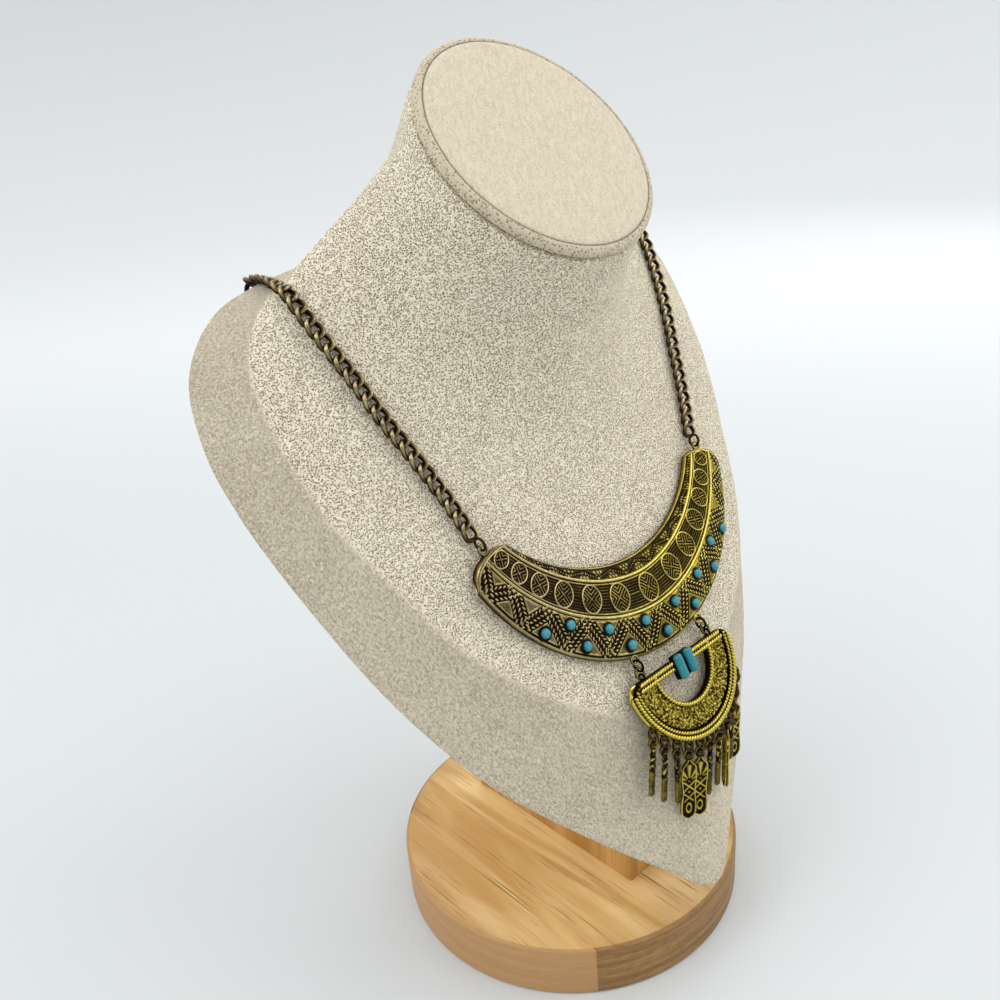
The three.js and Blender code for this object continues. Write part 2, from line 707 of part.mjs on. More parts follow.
function chainRings(fromBoard) {
  return [-1, 1].map((sign) => {
    const name = `chain_ring_${sign < 0 ? 'left' : 'right'}`;
    const ring = mesh(name, ringGeometry(CHAIN_RING_RADIUS), finish('brass'));
    const spot = new THREE.Vector3(sign * (CHAIN_LUG.x + 0.3), CHAIN_LUG.y + 2, CHAIN_LUG.z);
    ring.position.copy(spot.applyMatrix4(fromBoard));
    ring.rotation.set(BOARD_LEAN, 0, 0);
    ring.rotateY(Math.PI / 2);
    return ring;
  });
}

function clasp() {
  const half = CLASP.width / 2;
  const outline = new THREE.Shape();
  outline.absarc(half - CLASP.length / 2, 0, half, Math.PI / 2, Math.PI * 1.5);
  outline.absarc(CLASP.length / 2 - half * 0.7, 0, half * 0.7, -Math.PI / 2, Math.PI / 2);
  outline.closePath();
  const options = { depth: CLASP.thickness, bevelEnabled: false, curveSegments: 8 };
  const body = new THREE.ExtrudeGeometry(outline, options);
  body.translate(0, 0, -CLASP.thickness / 2).rotateX(Math.PI / 2);
  const piece = mesh('clasp', body, finish('brass'));
  piece.position.set(0, CHAIN_BACK_TOP.back, CHAIN_BACK_TOP.height - CHAIN_BACK_SAG);
  return piece;
}

// ---------------------------------------------------------------- assembly

const board = new THREE.Group();
board.position.copy(BOARD_FOOT);
board.rotation.x = BOARD_LEAN;
board.updateMatrix();
const fromBoard = board.matrix.clone();
const toBoard = fromBoard.clone().invert();

board.add(bustForm(toBoard), collarPlate(), ...cabochons(), pendantPlate());
board.add(tubeStone('tube_stone_left', -TUBE_STONE.side));
board.add(tubeStone('tube_stone_right', TUBE_STONE.side));
board.add(...hangerRings());

const group = new THREE.Group();
group.add(standBase(), standPost(), neckCap(), board);
group.add(...chain(fromBoard), ...chainRings(fromBoard), clasp());
group.add(...drops(fromBoard));

export default group;
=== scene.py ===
"""Looks of the bib necklace on its linen neck bust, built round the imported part."""

import logging
import math
from dataclasses import dataclass, field
from enum import Enum

import bpy
import numpy as np
from mathutils import Matrix, Vector, noise


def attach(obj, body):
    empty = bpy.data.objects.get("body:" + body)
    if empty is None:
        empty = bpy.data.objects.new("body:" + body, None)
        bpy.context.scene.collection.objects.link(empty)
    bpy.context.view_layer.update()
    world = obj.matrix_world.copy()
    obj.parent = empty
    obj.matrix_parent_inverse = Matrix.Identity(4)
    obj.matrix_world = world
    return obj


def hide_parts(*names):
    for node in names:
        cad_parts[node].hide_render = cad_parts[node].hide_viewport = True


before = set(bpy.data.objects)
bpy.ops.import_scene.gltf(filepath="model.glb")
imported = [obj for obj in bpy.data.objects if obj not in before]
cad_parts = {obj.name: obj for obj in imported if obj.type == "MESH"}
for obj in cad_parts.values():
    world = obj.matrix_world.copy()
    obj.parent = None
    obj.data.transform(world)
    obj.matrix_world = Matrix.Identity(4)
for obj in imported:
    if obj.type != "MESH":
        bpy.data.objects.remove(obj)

LOG = logging.getLogger("necklace")
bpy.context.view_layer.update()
METRE = 0.001  # metres in a millimetre
Array = np.ndarray
Socket = bpy.types.NodeSocket


class Slot(Enum):
    """The record's material slots."""

    WOOD = "stand_wood"
    LINEN = "bust_linen"
    SUEDE = "cap_suede"
    BRASS = "antique_brass"
    CHAIN = "chain_brass"
    TURQUOISE = "turquoise"


class DropShape(Enum):
    """The two castings that hang from the pendant."""

    BAR = "bar"
    PADDLE = "paddle"


# ------------------------------------------------------------------ shared geometry


def smooth_step(low: float, high: float, value: Array) -> Array:
    """Smooth rise from 0 to 1.

    Args:
        low: where the rise starts.
        high: where it ends.
        value: the values to map.

    Returns:
        The mapped values, from 0 to 1.
    """
    share = np.clip((value - low) / (high - low), 0.0, 1.0)
    return share * share * (3.0 - 2.0 * share)


def round_wire(distance: Array, half: float) -> Array:
    """Section of a round wire.

    Args:
        distance: distance from the wire's centre line.
        half: half of its width.

    Returns:
        Height as a share of the wire's own, 0 outside it.
    """
    return np.sqrt(np.clip(1.0 - (distance / half) ** 2, 0.0, 1.0))


def grain(points: Array, size: float, seed: float = 0.0) -> Array:
    """Smooth solid noise at each point.

    Args:
        points: rows of three coordinates, in millimetres.
        size: size of a bump, in millimetres.
        seed: shift that gives another pattern.

    Returns:
        One value a point, about -1 to 1.
    """
    flat = points.reshape(-1, 3) / size + seed
    values = [noise.noise(Vector(place)) for place in flat.tolist()]
    return np.array(values).reshape(points.shape[:-1])


def unit(vectors: Array) -> Array:
    """Vectors along the last axis, made one long."""
    return vectors / np.maximum(np.linalg.norm(vectors, axis=-1, keepdims=True), 1e-9)


def circle(count: int) -> Array:
    """Angles of that many evenly spaced places round a circle."""
    return np.linspace(0, 2 * math.pi, count, endpoint=False)


def turned(profile: Array, count: int) -> Array:
    """A profile spun about the upright.

    Args:
        profile: rows of radius and height.
        count: places round it.

    Returns:
        A grid of points.
    """
    angle = circle(count)
    return np.stack([profile[:, :1] * np.cos(angle), profile[:, :1] * np.sin(angle),
                     np.broadcast_to(profile[:, 1:], (len(profile), count))], -1)


def fade(first: Array, second: Array | float, share: Array) -> Array:
    """The first value where the share is 0, the second where it is 1."""
    return first * (1 - share) + second * share


def waves(distance: Array, pitch: float) -> Array:
    """Ribs from 0 to 1, one each pitch, with a crest at 0."""
    return 0.5 + 0.5 * np.cos(2 * math.pi * distance / pitch)


def rounding(edge: Array, reach: float) -> Array:
    """How far a surface falls near a rounded edge.

    Args:
        edge: distance from the edge.
        reach: where the rounding ends.

    Returns:
        1 at the edge to 0 past the rounding.
    """
    return 1 - np.sqrt(np.clip(1 - (1 - np.clip(edge / reach, 0, 1)) ** 2, 0, 1))


def wire_shine(middle: float, swing: float, corners: int, rows: int) -> Array:
    """Wear of a wire ring with painted highlight and shade: lighter on its outer side, darker on
    the opposite side.

    Args:
        middle: its mean.
        swing: how far it goes to each side of that.
        corners: corners of the wire's section.
        rows: sections along the wire.

    Returns:
        One value a corner, section by section.
    """
    return np.tile(middle + swing * np.cos(circle(corners)), rows)


def upright_ring(radius: float, count: int) -> Array:
    """A ring of points that stands up and down the board."""
    turn = circle(count)
    return np.stack([0 * turn, radius * np.cos(turn), radius * np.sin(turn)], -1)


def flat_ring(radius: float, count: int) -> Array:
    """A ring of points that lies along the board."""
    turn = circle(count)
    return np.stack([radius * np.cos(turn), radius * np.sin(turn), 0 * turn], -1)


@dataclass(frozen=True)
class Board:
    """The bust's leaning board frame: across, up the board and out of its front."""

    lean: float = 61.0
    foot: tuple[float, float, float] = (0.0, -66.0, 31.0)

    @property
    def axes(self) -> Array:
        """Across, up and out as rows, in the row frame.

        Returns:
            Three by three.
        """
        turn = math.radians(self.lean)
        return np.array([[1, 0, 0], [0, math.cos(turn), math.sin(turn)],
                         [0, -math.sin(turn), math.cos(turn)]], float)

    def to_world(self, points: Array) -> Array:
        """Board-frame points in the row frame, both in millimetres."""
        return points @ self.axes + np.array(self.foot)

    def to_board(self, points: Array) -> Array:
        """Row-frame points in the board frame, both in millimetres."""
        return (points - np.array(self.foot)) @ self.axes.T


BOARD = Board()


class Spline:
    """A centripetal curve through points, open or closed."""

    fineness = 24  # samples a span

    def __init__(self, points: Array, closed: bool = False) -> None:
        """Samples the curve finely.

        Args:
            points: rows of three coordinates.
            closed: whether it returns to its first point.
        """
        count = len(points)
        spans = count if closed else count - 1
        fine = []
        for span in range(spans):
            if closed:
                ends = [points[(span + step) % count] for step in (-1, 0, 1, 2)]
            else:
                before = points[span - 1] if span else 2 * points[0] - points[1]
                after = points[span + 2] if span + 2 < count else 2 * points[-1] - points[-2]
                ends = [before, points[span], points[span + 1], after]
            fine.append(self._span(*ends))
        last = points[0] if closed else points[-1]
        self.samples = np.vstack(fine + [last[None]])
        steps = np.linalg.norm(np.diff(self.samples, axis=0), axis=1)
        self.lengths = np.concatenate([[0.0], np.cumsum(steps)])

    def _span(self, before: Array, start: Array, end: Array, after: Array) -> Array:
        """Points of one span, without its end.

        Args:
            before: the point before the span.
            start: its first point.
            end: its last point.
            after: the point after it.

        Returns:
            Rows of points.
        """
        d0, d1, d2 = (max(float(np.linalg.norm(b - a)) ** 0.5, 1e-3)
                      for a, b in ((before, start), (start, end), (end, after)))
        lead = ((start - before) / d0 - (end - before) / (d0 + d1) + (end - start) / d1) * d1
        tail = ((end - start) / d1 - (after - start) / (d1 + d2) + (after - end) / d2) * d1
        t = np.linspace(0, 1, self.fineness, endpoint=False)[:, None]
        return (start + lead * t + (3 * (end - start) - 2 * lead - tail) * t ** 2
                + (2 * (start - end) + lead + tail) * t ** 3)

    @property
    def length(self) -> float:
        """Length along the curve."""
        return float(self.lengths[-1])

    def at(self, shares: Array) -> Array:
        """Points at shares of the length, from 0 to 1.

        Args:
            shares: places along it, 0 to 1.

        Returns:
            One point a share.
        """
        wanted = np.asarray(shares) * self.length
        return np.stack([np.interp(wanted, self.lengths, self.samples[:, axis])
                         for axis in range(3)], axis=-1)

    def along(self, shares: Array) -> Array:
        """Unit directions at shares of the length."""
        step = 0.4 / max(self.length, 1.0)
        return unit(self.at(np.clip(shares + step, 0, 1)) - self.at(np.clip(shares - step, 0, 1)))


class Skin:
    """A mesh being put together from grids of points, in millimetres."""

    def __init__(self) -> None:
        """Starts with nothing in it."""
        self.points: list[Array] = []
        self.wear_and_painted_light: list[Array] = []
        self.faces: list[Array] = []
        self.count = 0

    def grid(self, points: Array, wear_and_painted_light: Array | float = 0.5, closed: tuple[bool, bool] =
             (False, False), flip: bool = False, caps: bool = False) -> None:
        """Adds a sheet of quads.

        Args:
            points: rows by columns by three coordinates.
            wear_and_painted_light: how polished each point is, 0 to 1, and on some pieces painted
                highlight and shade.
            closed: whether the rows, and the columns, join end to end.
            flip: whether to turn the faces over.
            caps: whether to close the first and last rows with a fan each.
        """
        rows, columns = points.shape[:2]
        index = np.arange(rows * columns).reshape(rows, columns) + self.count
        wide = np.vstack([index, index[:1]]) if closed[0] else index
        wide = np.hstack([wide, wide[:, :1]]) if closed[1] else wide
        quads = np.stack([wide[:-1, :-1], wide[:-1, 1:], wide[1:, 1:], wide[1:, :-1]], -1)
        quads = quads.reshape(-1, 4)
        self.faces.append(quads[:, ::-1] if flip else quads)
        self._keep(points.reshape(-1, 3), wear_and_painted_light)
        if caps:
            for row, over in ((0, flip), (rows - 1, not flip)):
                centre = self.count
                self._keep(points[row].mean(0)[None], float(np.mean(wear_and_painted_light)))
                ring = index[row]
                fan = np.stack([np.full(columns, centre), np.roll(ring, -1), ring], -1)
                self.faces.append(fan[:, ::-1] if over else fan)

    def _keep(self, points: Array, wear_and_painted_light: Array | float) -> None:
        """Stores points with their wear.

        Args:
            points: rows of three coordinates.
            wear_and_painted_light: one value, or one a point.
        """
        self.points.append(points)
        self.wear_and_painted_light.append(np.broadcast_to(np.asarray(wear_and_painted_light, float).reshape(-1), (len(points),)))
        self.count += len(points)

    def tube(self, path: Array, radius: Array | float, sides: int = 8, closed: bool = False,
             outward: Array | None = None, wear_and_painted_light: Array | float = 0.5) -> None:
        """Adds a round wire along a path.

        Args:
            path: rows of points.
            radius: its radius, one value or one a point.
            sides: corners of its section.
            closed: whether the path is a loop.
            outward: directions that the section's first corner leans to.
            wear_and_painted_light: how polished it is, and on some wires painted highlight and
                shade, one value or one a point and corner.
        """
        ahead = np.roll(path, -1, 0) - np.roll(path, 1, 0)
        if not closed:
            ahead[0], ahead[-1] = path[1] - path[0], path[-1] - path[-2]
        ahead = unit(ahead)
        if outward is None:
            outward = np.broadcast_to(BOARD.axes[2], path.shape)
        side = unit(np.cross(ahead, outward))
        level = np.cross(side, ahead)
        turn = circle(sides)[None, :, None]
        reach = np.broadcast_to(np.asarray(radius, float).reshape(-1, 1, 1), (len(path), 1, 1))
        ring = level[:, None] * np.cos(turn) + side[:, None] * np.sin(turn)
        self.grid(path[:, None] + ring * reach, wear_and_painted_light, (closed, True), flip=True,
                  caps=not closed)

    def end_walls(self, top: Array, low: Array) -> None:
        """Closes the two ends of a plate.

        Args:
            top: its top grid in the board frame.
            low: its underside.
        """
        for column, flip in ((0, False), (-1, True)):
            ring = np.concatenate([top[:, column], low[:, column]])
            inward = ring + (ring.mean(0) - ring) * 0.02
            self.grid(BOARD.to_world(np.stack([ring, inward])), 0.7, (False, True), flip)
            rim = BOARD.to_world(inward)
            hub = np.broadcast_to(rim.mean(0), rim.shape)
            self.grid(np.stack([rim, hub]), 0.7, (False, True), flip)

    def build(self, name: str, crisp: float | None = None) -> bpy.types.Object:
        """Makes the piece.

        Args:
            name: the piece's name.
            crisp: angle above which an edge stays sharp, in degrees.

        Returns:
            The piece, in the scene.
        """
        points = np.vstack(self.points) * METRE
        mesh = bpy.data.meshes.new(name)
        mesh.vertices.add(len(points))
        mesh.vertices.foreach_set("co", points.astype(np.float32).ravel())
        sizes = np.concatenate([np.full(len(part), part.shape[1]) for part in self.faces])
        corners = np.concatenate([part.ravel() for part in self.faces]).astype(np.int32)
        mesh.loops.add(len(corners))
        mesh.loops.foreach_set("vertex_index", corners)
        mesh.polygons.add(len(sizes))
        starts = np.concatenate([[0], np.cumsum(sizes)[:-1]]).astype(np.int32)
        mesh.polygons.foreach_set("loop_start", starts)
        mesh.polygons.foreach_set("use_smooth", np.ones(len(sizes), bool))
        layer = mesh.attributes.new("wear_and_painted_light", "FLOAT", "POINT")
        layer.data.foreach_set("value", np.concatenate(self.wear_and_painted_light).astype(np.float32))
        mesh.update(calc_edges=True)
        mesh.validate()
        if crisp is not None:
            mesh.set_sharp_from_angle(angle=math.radians(crisp))
        piece = bpy.data.objects.new(name, mesh)
        bpy.context.scene.collection.objects.link(piece)
        return piece


def settle(piece: bpy.types.Object, material: bpy.types.Material, slot: Slot,
           *nodes: str) -> None:
    """Dresses a piece, fixes it to the body and reports it.

    Args:
        piece: the piece.
        material: its finish.
        slot: the record's slot for that finish; not used.
        nodes: CAD nodes that it stands for.
    """
    piece.data.materials.clear()
    piece.data.materials.append(material)
    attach(piece, "root")
    if nodes:
        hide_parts(*nodes)
    faces = len(piece.data.polygons)
    LOG.info("%s: %d faces, for %s", piece.name, faces, ", ".join(nodes) or "no CAD node")


# ------------------------------------------------------------------ finishes


Colour = tuple[float, float, float]


def tint(red: int, green: int, blue: int) -> Colour:
    """A screen colour of 0 to 255 a channel as linear light."""
    return tuple(v / 3294.6 if v <= 10 else ((v / 255 + 0.055) / 1.055) ** 2.4
                 for v in (red, green, blue))


class Recipe:
    """A node material being mixed."""

    def __init__(self, name: str) -> None:
        """Starts with a bare shader.

        Args:
            name: the material's name.
        """
        self.material = bpy.data.materials.new(name)
        self.material.use_nodes = True
        self.tree = self.material.node_tree
        self.tree.nodes.clear()
        end = self.tree.nodes.new("ShaderNodeOutputMaterial")
        self.shader = self.tree.nodes.new("ShaderNodeBsdfPrincipled")
        self.tree.links.new(self.shader.outputs[0], end.inputs[0])
        place = self.tree.nodes.new("ShaderNodeTexCoord")
        self.place = place.outputs["Object"]

    def node(self, kind: str, inputs: dict[str | int, object], **settings: object
             ) -> bpy.types.Node:
        """Adds a node.

        Args:
            kind: its type.
            inputs: sockets or values for its inputs, by name or number.
            settings: its own properties.

        Returns:
            The node.
        """
        made = self.tree.nodes.new(kind)
        for key, value in settings.items():
            setattr(made, key, value)
        for key, value in inputs.items():
            if isinstance(value, bpy.types.NodeSocket):
                self.tree.links.new(value, made.inputs[key])
            else:
                made.inputs[key].default_value = value
        return made

    def mapped(self, scale: Colour = (1, 1, 1), turn: Colour = (0, 0, 0)) -> Socket:
        """Coordinates in millimetres, turned and then scaled.

        Args:
            scale: factor along each axis, per millimetre.
            turn: rotation in degrees.

        Returns:
            The coordinates.
        """
        turned = self.node("ShaderNodeMapping", {
            "Vector": self.place, "Rotation": tuple(math.radians(a) for a in turn),
        }).outputs[0]
        return self.node("ShaderNodeMapping", {
            "Vector": turned, "Scale": tuple(1000 * s for s in scale)}).outputs[0]

    def noise(self, at: Socket, scale: float = 1.0, detail: float = 2.0, rough: float = 0.5,
              warp: float = 0.0) -> Socket:
        """Cloudy noise.

        Args:
            at: coordinates.
            scale: bumps a unit.
            detail: finer layers.
            rough: their strength.
            warp: how far it is distorted.

        Returns:
            Its value, about 0.5.
        """
        return self.node("ShaderNodeTexNoise", {
            "Vector": at, "Scale": scale, "Detail": detail, "Roughness": rough,
            "Distortion": warp}).outputs[0]

    def cells(self, at: Socket, scale: float = 1.0, feature: str = "F1") -> Socket:
        """Cellular texture.

        Args:
            at: coordinates.
            scale: cells a unit.
            feature: which distance.

        Returns:
            That distance.
        """
        return self.node("ShaderNodeTexVoronoi", {"Vector": at, "Scale": scale},
                         feature=feature).outputs["Distance"]

    def ramp(self, value: Socket, low: float, high: float, to_low: float = 0.0,
             to_high: float = 1.0) -> Socket:
        """Maps a value smoothly from one range to another.

        Args:
            value: the value.
            low: start of the range.
            high: end of the range.
            to_low: result at the start.
            to_high: result at the end.

        Returns:
            The mapped value.
        """
        return self.node("ShaderNodeMapRange", {
            0: value, 1: low, 2: high, 3: to_low, 4: to_high},
            interpolation_type="SMOOTHSTEP").outputs[0]

    def math(self, what: str, first: Socket | float, second: Socket | float = 0.0) -> Socket:
        """Arithmetic on two values.

        Args:
            what: the operation.
            first: the first value.
            second: the second value.

        Returns:
            The result.
        """
        return self.node("ShaderNodeMath", {0: first, 1: second}, operation=what).outputs[0]

    def mix(self, share: Socket | float, first: Socket | Colour, second: Socket | Colour
            ) -> Socket:
        """Mixes two colours.

        Args:
            share: how much of the second.
            first: the first colour.
            second: the second colour.

        Returns:
            The mixed colour.
        """
        sides = [(*c, 1.0) if isinstance(c, tuple) else c for c in (first, second)]
        return self.node("ShaderNodeMix", {0: share, 6: sides[0], 7: sides[1]},
                         data_type="RGBA").outputs[2]

    def wear_and_painted_light(self) -> Socket:
        """How polished the mesh says that a point is, and on some pieces its painted highlight and
        shade.
        """
        return self.node("ShaderNodeAttribute", {}, attribute_name="wear_and_painted_light").outputs["Fac"]

    def times(self, first: Socket | float, second: Socket | float) -> Socket:
        """Product of two values."""
        return self.math("MULTIPLY", first, second)

    def relief(self, height: Socket, depth: float, strength: float = 1.0) -> None:
        """Raises the surface.

        Args:
            height: a value from 0 to 1.
            depth: what 1 stands for, in millimetres.
            strength: how much of it shows.
        """
        bump = self.node("ShaderNodeBump", {
            "Height": height, "Distance": depth * METRE, "Strength": strength})
        self.tree.links.new(bump.outputs[0], self.shader.inputs["Normal"])

    def finish(self, **inputs: object) -> bpy.types.Material:
        """Sets the shader's inputs, by name with spaces for underscores.

        Args:
            inputs: sockets or values.

        Returns:
            The material.
        """
        for key, value in inputs.items():
            socket = self.shader.inputs[key.replace("_", " ")]
            if isinstance(value, bpy.types.NodeSocket):
                self.tree.links.new(value, socket)
            else:
                socket.default_value = value
        return self.material


@dataclass(frozen=True)
class Linen:
    """Crepe-woven linen: pebbly on the panel, longer wrinkles on the skirt."""

    light: Colour = tint(244, 229, 202)
    shade: Colour = tint(233, 217, 189)
    # painted shade in the weave's pits, and random dark flecks
    pit: Colour = tint(96, 78, 52)
    # painted highlight on the weave's crests
    crest_highlight: Colour = tint(250, 239, 214)
    shadow: Colour = tint(120, 112, 100)
    pebble: float = 0.5  # millimetres
    depth: float = 0.26

    def make(self) -> bpy.types.Material:
        """The material; wear is 1 on the panel and 0 on the skirt.

        Returns:
            The material.
        """
        r = Recipe("bust_linen")
        place = r.mapped()
        crepe = r.ramp(r.cells(place, 1.0 / self.pebble), 0.12, 0.66)
        slant = r.mapped((1.5, 1.5, 0.34), (0, 24, 38))
        longer = r.ramp(r.noise(slant, 0.8 / self.pebble, 3.0, 0.6, 0.8), 0.26, 0.68)
        panel = r.wear_and_painted_light()
        height = r.math("ADD", r.times(crepe, panel),
                        r.times(longer, r.math("SUBTRACT", 1.0, panel)))
        # painted shade: darker in the weave's pits, more on the panel than on the skirt
        pits = r.ramp(height, 0.6, 0.06)
        cloud = r.ramp(r.noise(place, 0.05, 2.0), 0.3, 0.7)
        base = r.mix(cloud, self.shade, self.light)
        # painted highlight: lighter where the weave stands highest
        base = r.mix(r.ramp(height, 0.6, 1.0, 0.0, 0.85), base, self.crest_highlight)
        base = r.mix(r.ramp(r.noise(place, 1.3, 2.0), 0.56, 0.34, 0.0, 0.24), base, self.pit)
        base = r.mix(r.ramp(panel, 1.0, 0.0, 0.0, 0.12), base, self.shadow)
        share = r.times(pits, r.ramp(panel, 0.0, 1.0, 0.46, 0.86))
        colour = r.mix(share, base, self.pit)
        r.relief(height, self.depth)
        return r.finish(Base_Color=colour, Roughness=0.93, Sheen_Weight=0.12,
                        Sheen_Roughness=0.6, Specular_IOR_Level=0.15)


@dataclass(frozen=True)
class Suede:
    """Brushed cloth of the cap: soft nap with faint streaks."""

    light: Colour = tint(227, 215, 191)
    shade: Colour = tint(208, 194, 169)
    # painted shade in the knit's holes on the edge band
    band: Colour = tint(120, 102, 76)
    pit: Colour = tint(150, 130, 104)
    knit: Colour = tint(196, 178, 146)
    stitch: Colour = tint(96, 80, 58)

    def make(self) -> bpy.types.Material:
        """The material; wear is 1 on the brushed face and 0 on the knitted edge band.

        Returns:
            The material.
        """
        r = Recipe("cap_suede")
        place = r.mapped()
        nap = r.noise(place, 2.0, 3.0, 0.65)
        streak = r.noise(r.mapped((1.0, 0.3, 0.4), (0, 0, 35)), 1.0, 2.0, 0.6, 0.6)
        mottle = r.ramp(r.math("ADD", r.times(nap, 0.6), r.times(streak, 0.4)), 0.38, 0.6)
        colour = r.mix(mottle, self.shade, self.light)
        pits = r.ramp(r.noise(place, 1.9, 1.0), 0.38, 0.26, 0.0, 0.45)
        colour = r.mix(pits, colour, self.pit)
        knit = r.cells(place, 1.1)
        edge = r.math("SUBTRACT", 1.0, r.wear_and_painted_light())
        # painted shade: the knit's holes on the edge band are darkened
        holes = r.times(r.ramp(knit, 0.42, 0.2), edge)
        colour = r.mix(r.times(edge, 0.3), colour, self.knit)
        colour = r.mix(r.times(holes, 0.8), colour, self.band)
        seam = r.times(r.times(r.wear_and_painted_light(), edge), 3.2)
        colour = r.mix(seam, colour, self.stitch)
        r.relief(r.math("ADD", nap, r.times(r.times(knit, edge), 1.5)), 0.25, 0.8)
        return r.finish(Base_Color=colour, Roughness=0.9, Sheen_Weight=0.2,
                        Sheen_Roughness=0.5, Specular_IOR_Level=0.15)


@dataclass(frozen=True)
class HoneyWood:
    """Oiled pale wood with dark pores along its grain."""

    name: str
    light: Colour = tint(248, 213, 150)
    deep: Colour = tint(213, 165, 98)
    pore: Colour = tint(120, 76, 34)
    grain: tuple[float, float, float] = (0.0, 0.0, 0.0)  # turn of the grain, from Y
    joint: float | None = None  # x of the glued joint, millimetres
    edge: Colour = tint(168, 128, 76)
    edge_deep: Colour = tint(138, 101, 54)
    edge_pore: Colour = tint(104, 74, 38)
    edge_left: Colour = tint(208, 160, 108)  # left of the glued joint

    def make(self) -> bpy.types.Material:
        """The material; wear is 1 along the grain and 0 on a turned edge.

        Returns:
            The material.
        """
        r = Recipe(self.name)
        bands = r.noise(r.mapped((0.07, 0.01, 0.1), self.grain), 1.0, 2.0, 0.55, 0.8)
        rings = r.noise(r.mapped((0.5, 0.012, 0.4), self.grain), 1.0, 2.0, 0.5, 0.4)
        pores = r.noise(r.mapped((2.3, 0.04, 1.6), self.grain), 1.0, 1.0, 0.5, 0.1)
        fine = r.noise(r.mapped((4.2, 0.07, 3.0), self.grain), 1.0, 1.0)
        sparse = r.noise(r.mapped((0.09, 0.02, 0.1), self.grain), 1.0, 2.0)
        colour = r.mix(r.ramp(bands, 0.36, 0.64), self.deep, self.light)
        colour = r.mix(r.ramp(rings, 0.48, 0.75, 0.0, 0.3), colour, self.deep)
        colour = r.mix(r.ramp(fine, 0.5, 0.75, 0.0, 0.3), colour, self.deep)
        line = r.times(r.ramp(pores, 0.62, 0.72), r.ramp(sparse, 0.4, 0.6, 0.2, 0.85))
        colour = r.mix(line, colour, self.pore)
        layers = r.noise(r.mapped((0.02, 0.02, 0.42)), 1.0, 2.0, 0.6, 0.2)
        dust = r.noise(r.mapped((0.3, 0.3, 1.5)), 1.0, 3.0, 0.65)
        rim = r.mix(r.ramp(layers, 0.35, 0.65), self.edge, self.edge_deep)
        rim = r.mix(r.ramp(dust, 0.4, 0.66, 0.0, 0.4), rim, self.edge_pore)
        if self.joint is not None:
            side = r.node("ShaderNodeSeparateXYZ", {0: r.mapped()}).outputs[0]
            left = r.ramp(side, self.joint + 0.12, self.joint - 0.12, 0.0, 0.6)
            rim = r.mix(left, rim, self.edge_left)
        colour = r.mix(r.wear_and_painted_light(), rim, colour)
        r.relief(r.math("SUBTRACT", 1.0, line), 0.1, 0.6)
        return r.finish(Base_Color=colour, Roughness=r.ramp(bands, 0.3, 0.7, 0.5, 0.42),
                        Specular_IOR_Level=0.35)


@dataclass(frozen=True)
class AntiqueBrass:
    """Antiqued brass: dark patina in the recesses, worn bright on what stands up."""

    name: str
    bright: Colour = tint(226, 208, 104)
    body: Colour = tint(140, 122, 42)
    patina: Colour = tint(30, 20, 12)
    reflected_cream: Colour = tint(186, 168, 128)  # painted reflection: the paler cream of the left end
    gloss: float = 0.17
    grit: float = 0.1  # millimetres of casting grain
    worn: float = 0.0  # shift of the wear, -1 to 1
    paler: bool = False  # whether painted reflection makes the metal greyer and paler towards the left end

    def make(self) -> bpy.types.Material:
        """The material; the wear attribute is 0 in a recess and 1 on a polished edge, and on wires
        and rings it also carries painted highlight and shade.

        Returns:
            The material.
        """
        r = Recipe(self.name)
        place = r.mapped()
        cloud = r.noise(place, 0.16, 4.0, 0.6)
        speck = r.noise(place, 1.9, 2.0, 0.6)
        drift = r.math("ADD", r.times(cloud, 0.3), r.times(speck, 0.22))
        level = r.math("ADD", r.wear_and_painted_light(), r.math("ADD", drift, self.worn - 0.26))
        metal = r.mix(r.ramp(level, 0.45, 0.85), self.body, self.bright)
        share = r.ramp(level, 0.22, 0.6)
        colour = r.mix(share, self.patina, metal)
        rough = r.ramp(level, 0.25, 0.75, 0.5, self.gloss)
        r.relief(speck, self.grit, 0.5)
        # painted reflection: towards the left end the metal turns a paler, greyer cream on what
        # stands up
        if self.paler:
            side = r.node("ShaderNodeSeparateXYZ", {0: place}).outputs[0]
            pale = r.ramp(side, 12.0, -42.0, 0.0, 0.75)
            cream_reflection = r.mix(r.ramp(level, 0.34, 0.72), self.patina, self.reflected_cream)
            colour = r.mix(pale, colour, cream_reflection)
        return r.finish(Base_Color=colour, Metallic=1.0, Roughness=rough)


@dataclass(frozen=True)
class Turquoise:
    """Dyed turquoise with faint darker veins."""

    light: Colour = tint(60, 150, 164)
    deep: Colour = tint(12, 78, 92)
    vein: Colour = tint(30, 70, 70)

    def make(self) -> bpy.types.Material:
        """The material; wear is 1 at a stone's crown and 0 at its edge, and drives painted shade
        that darkens each stone towards its edge.

        Returns:
            The material.
        """
        r = Recipe("turquoise")
        place = r.mapped()
        cloud = r.noise(place, 0.5, 3.0, 0.55, 0.4)
        # painted shade: lighter at the crown, darker towards the edge, mixed with random cloud
        share = r.math("ADD", r.times(r.wear_and_painted_light(), 0.7), r.times(cloud, 0.5))
        colour = r.mix(r.ramp(share, 0.2, 0.95), self.deep, self.light)
        vein = r.ramp(r.cells(place, 0.33, "DISTANCE_TO_EDGE"), 0.05, 0.0, 0.0, 0.35)
        colour = r.mix(vein, colour, self.vein)
        r.relief(cloud, 0.08, 0.5)
        return r.finish(Base_Color=colour, Roughness=0.28, Specular_IOR_Level=0.5)


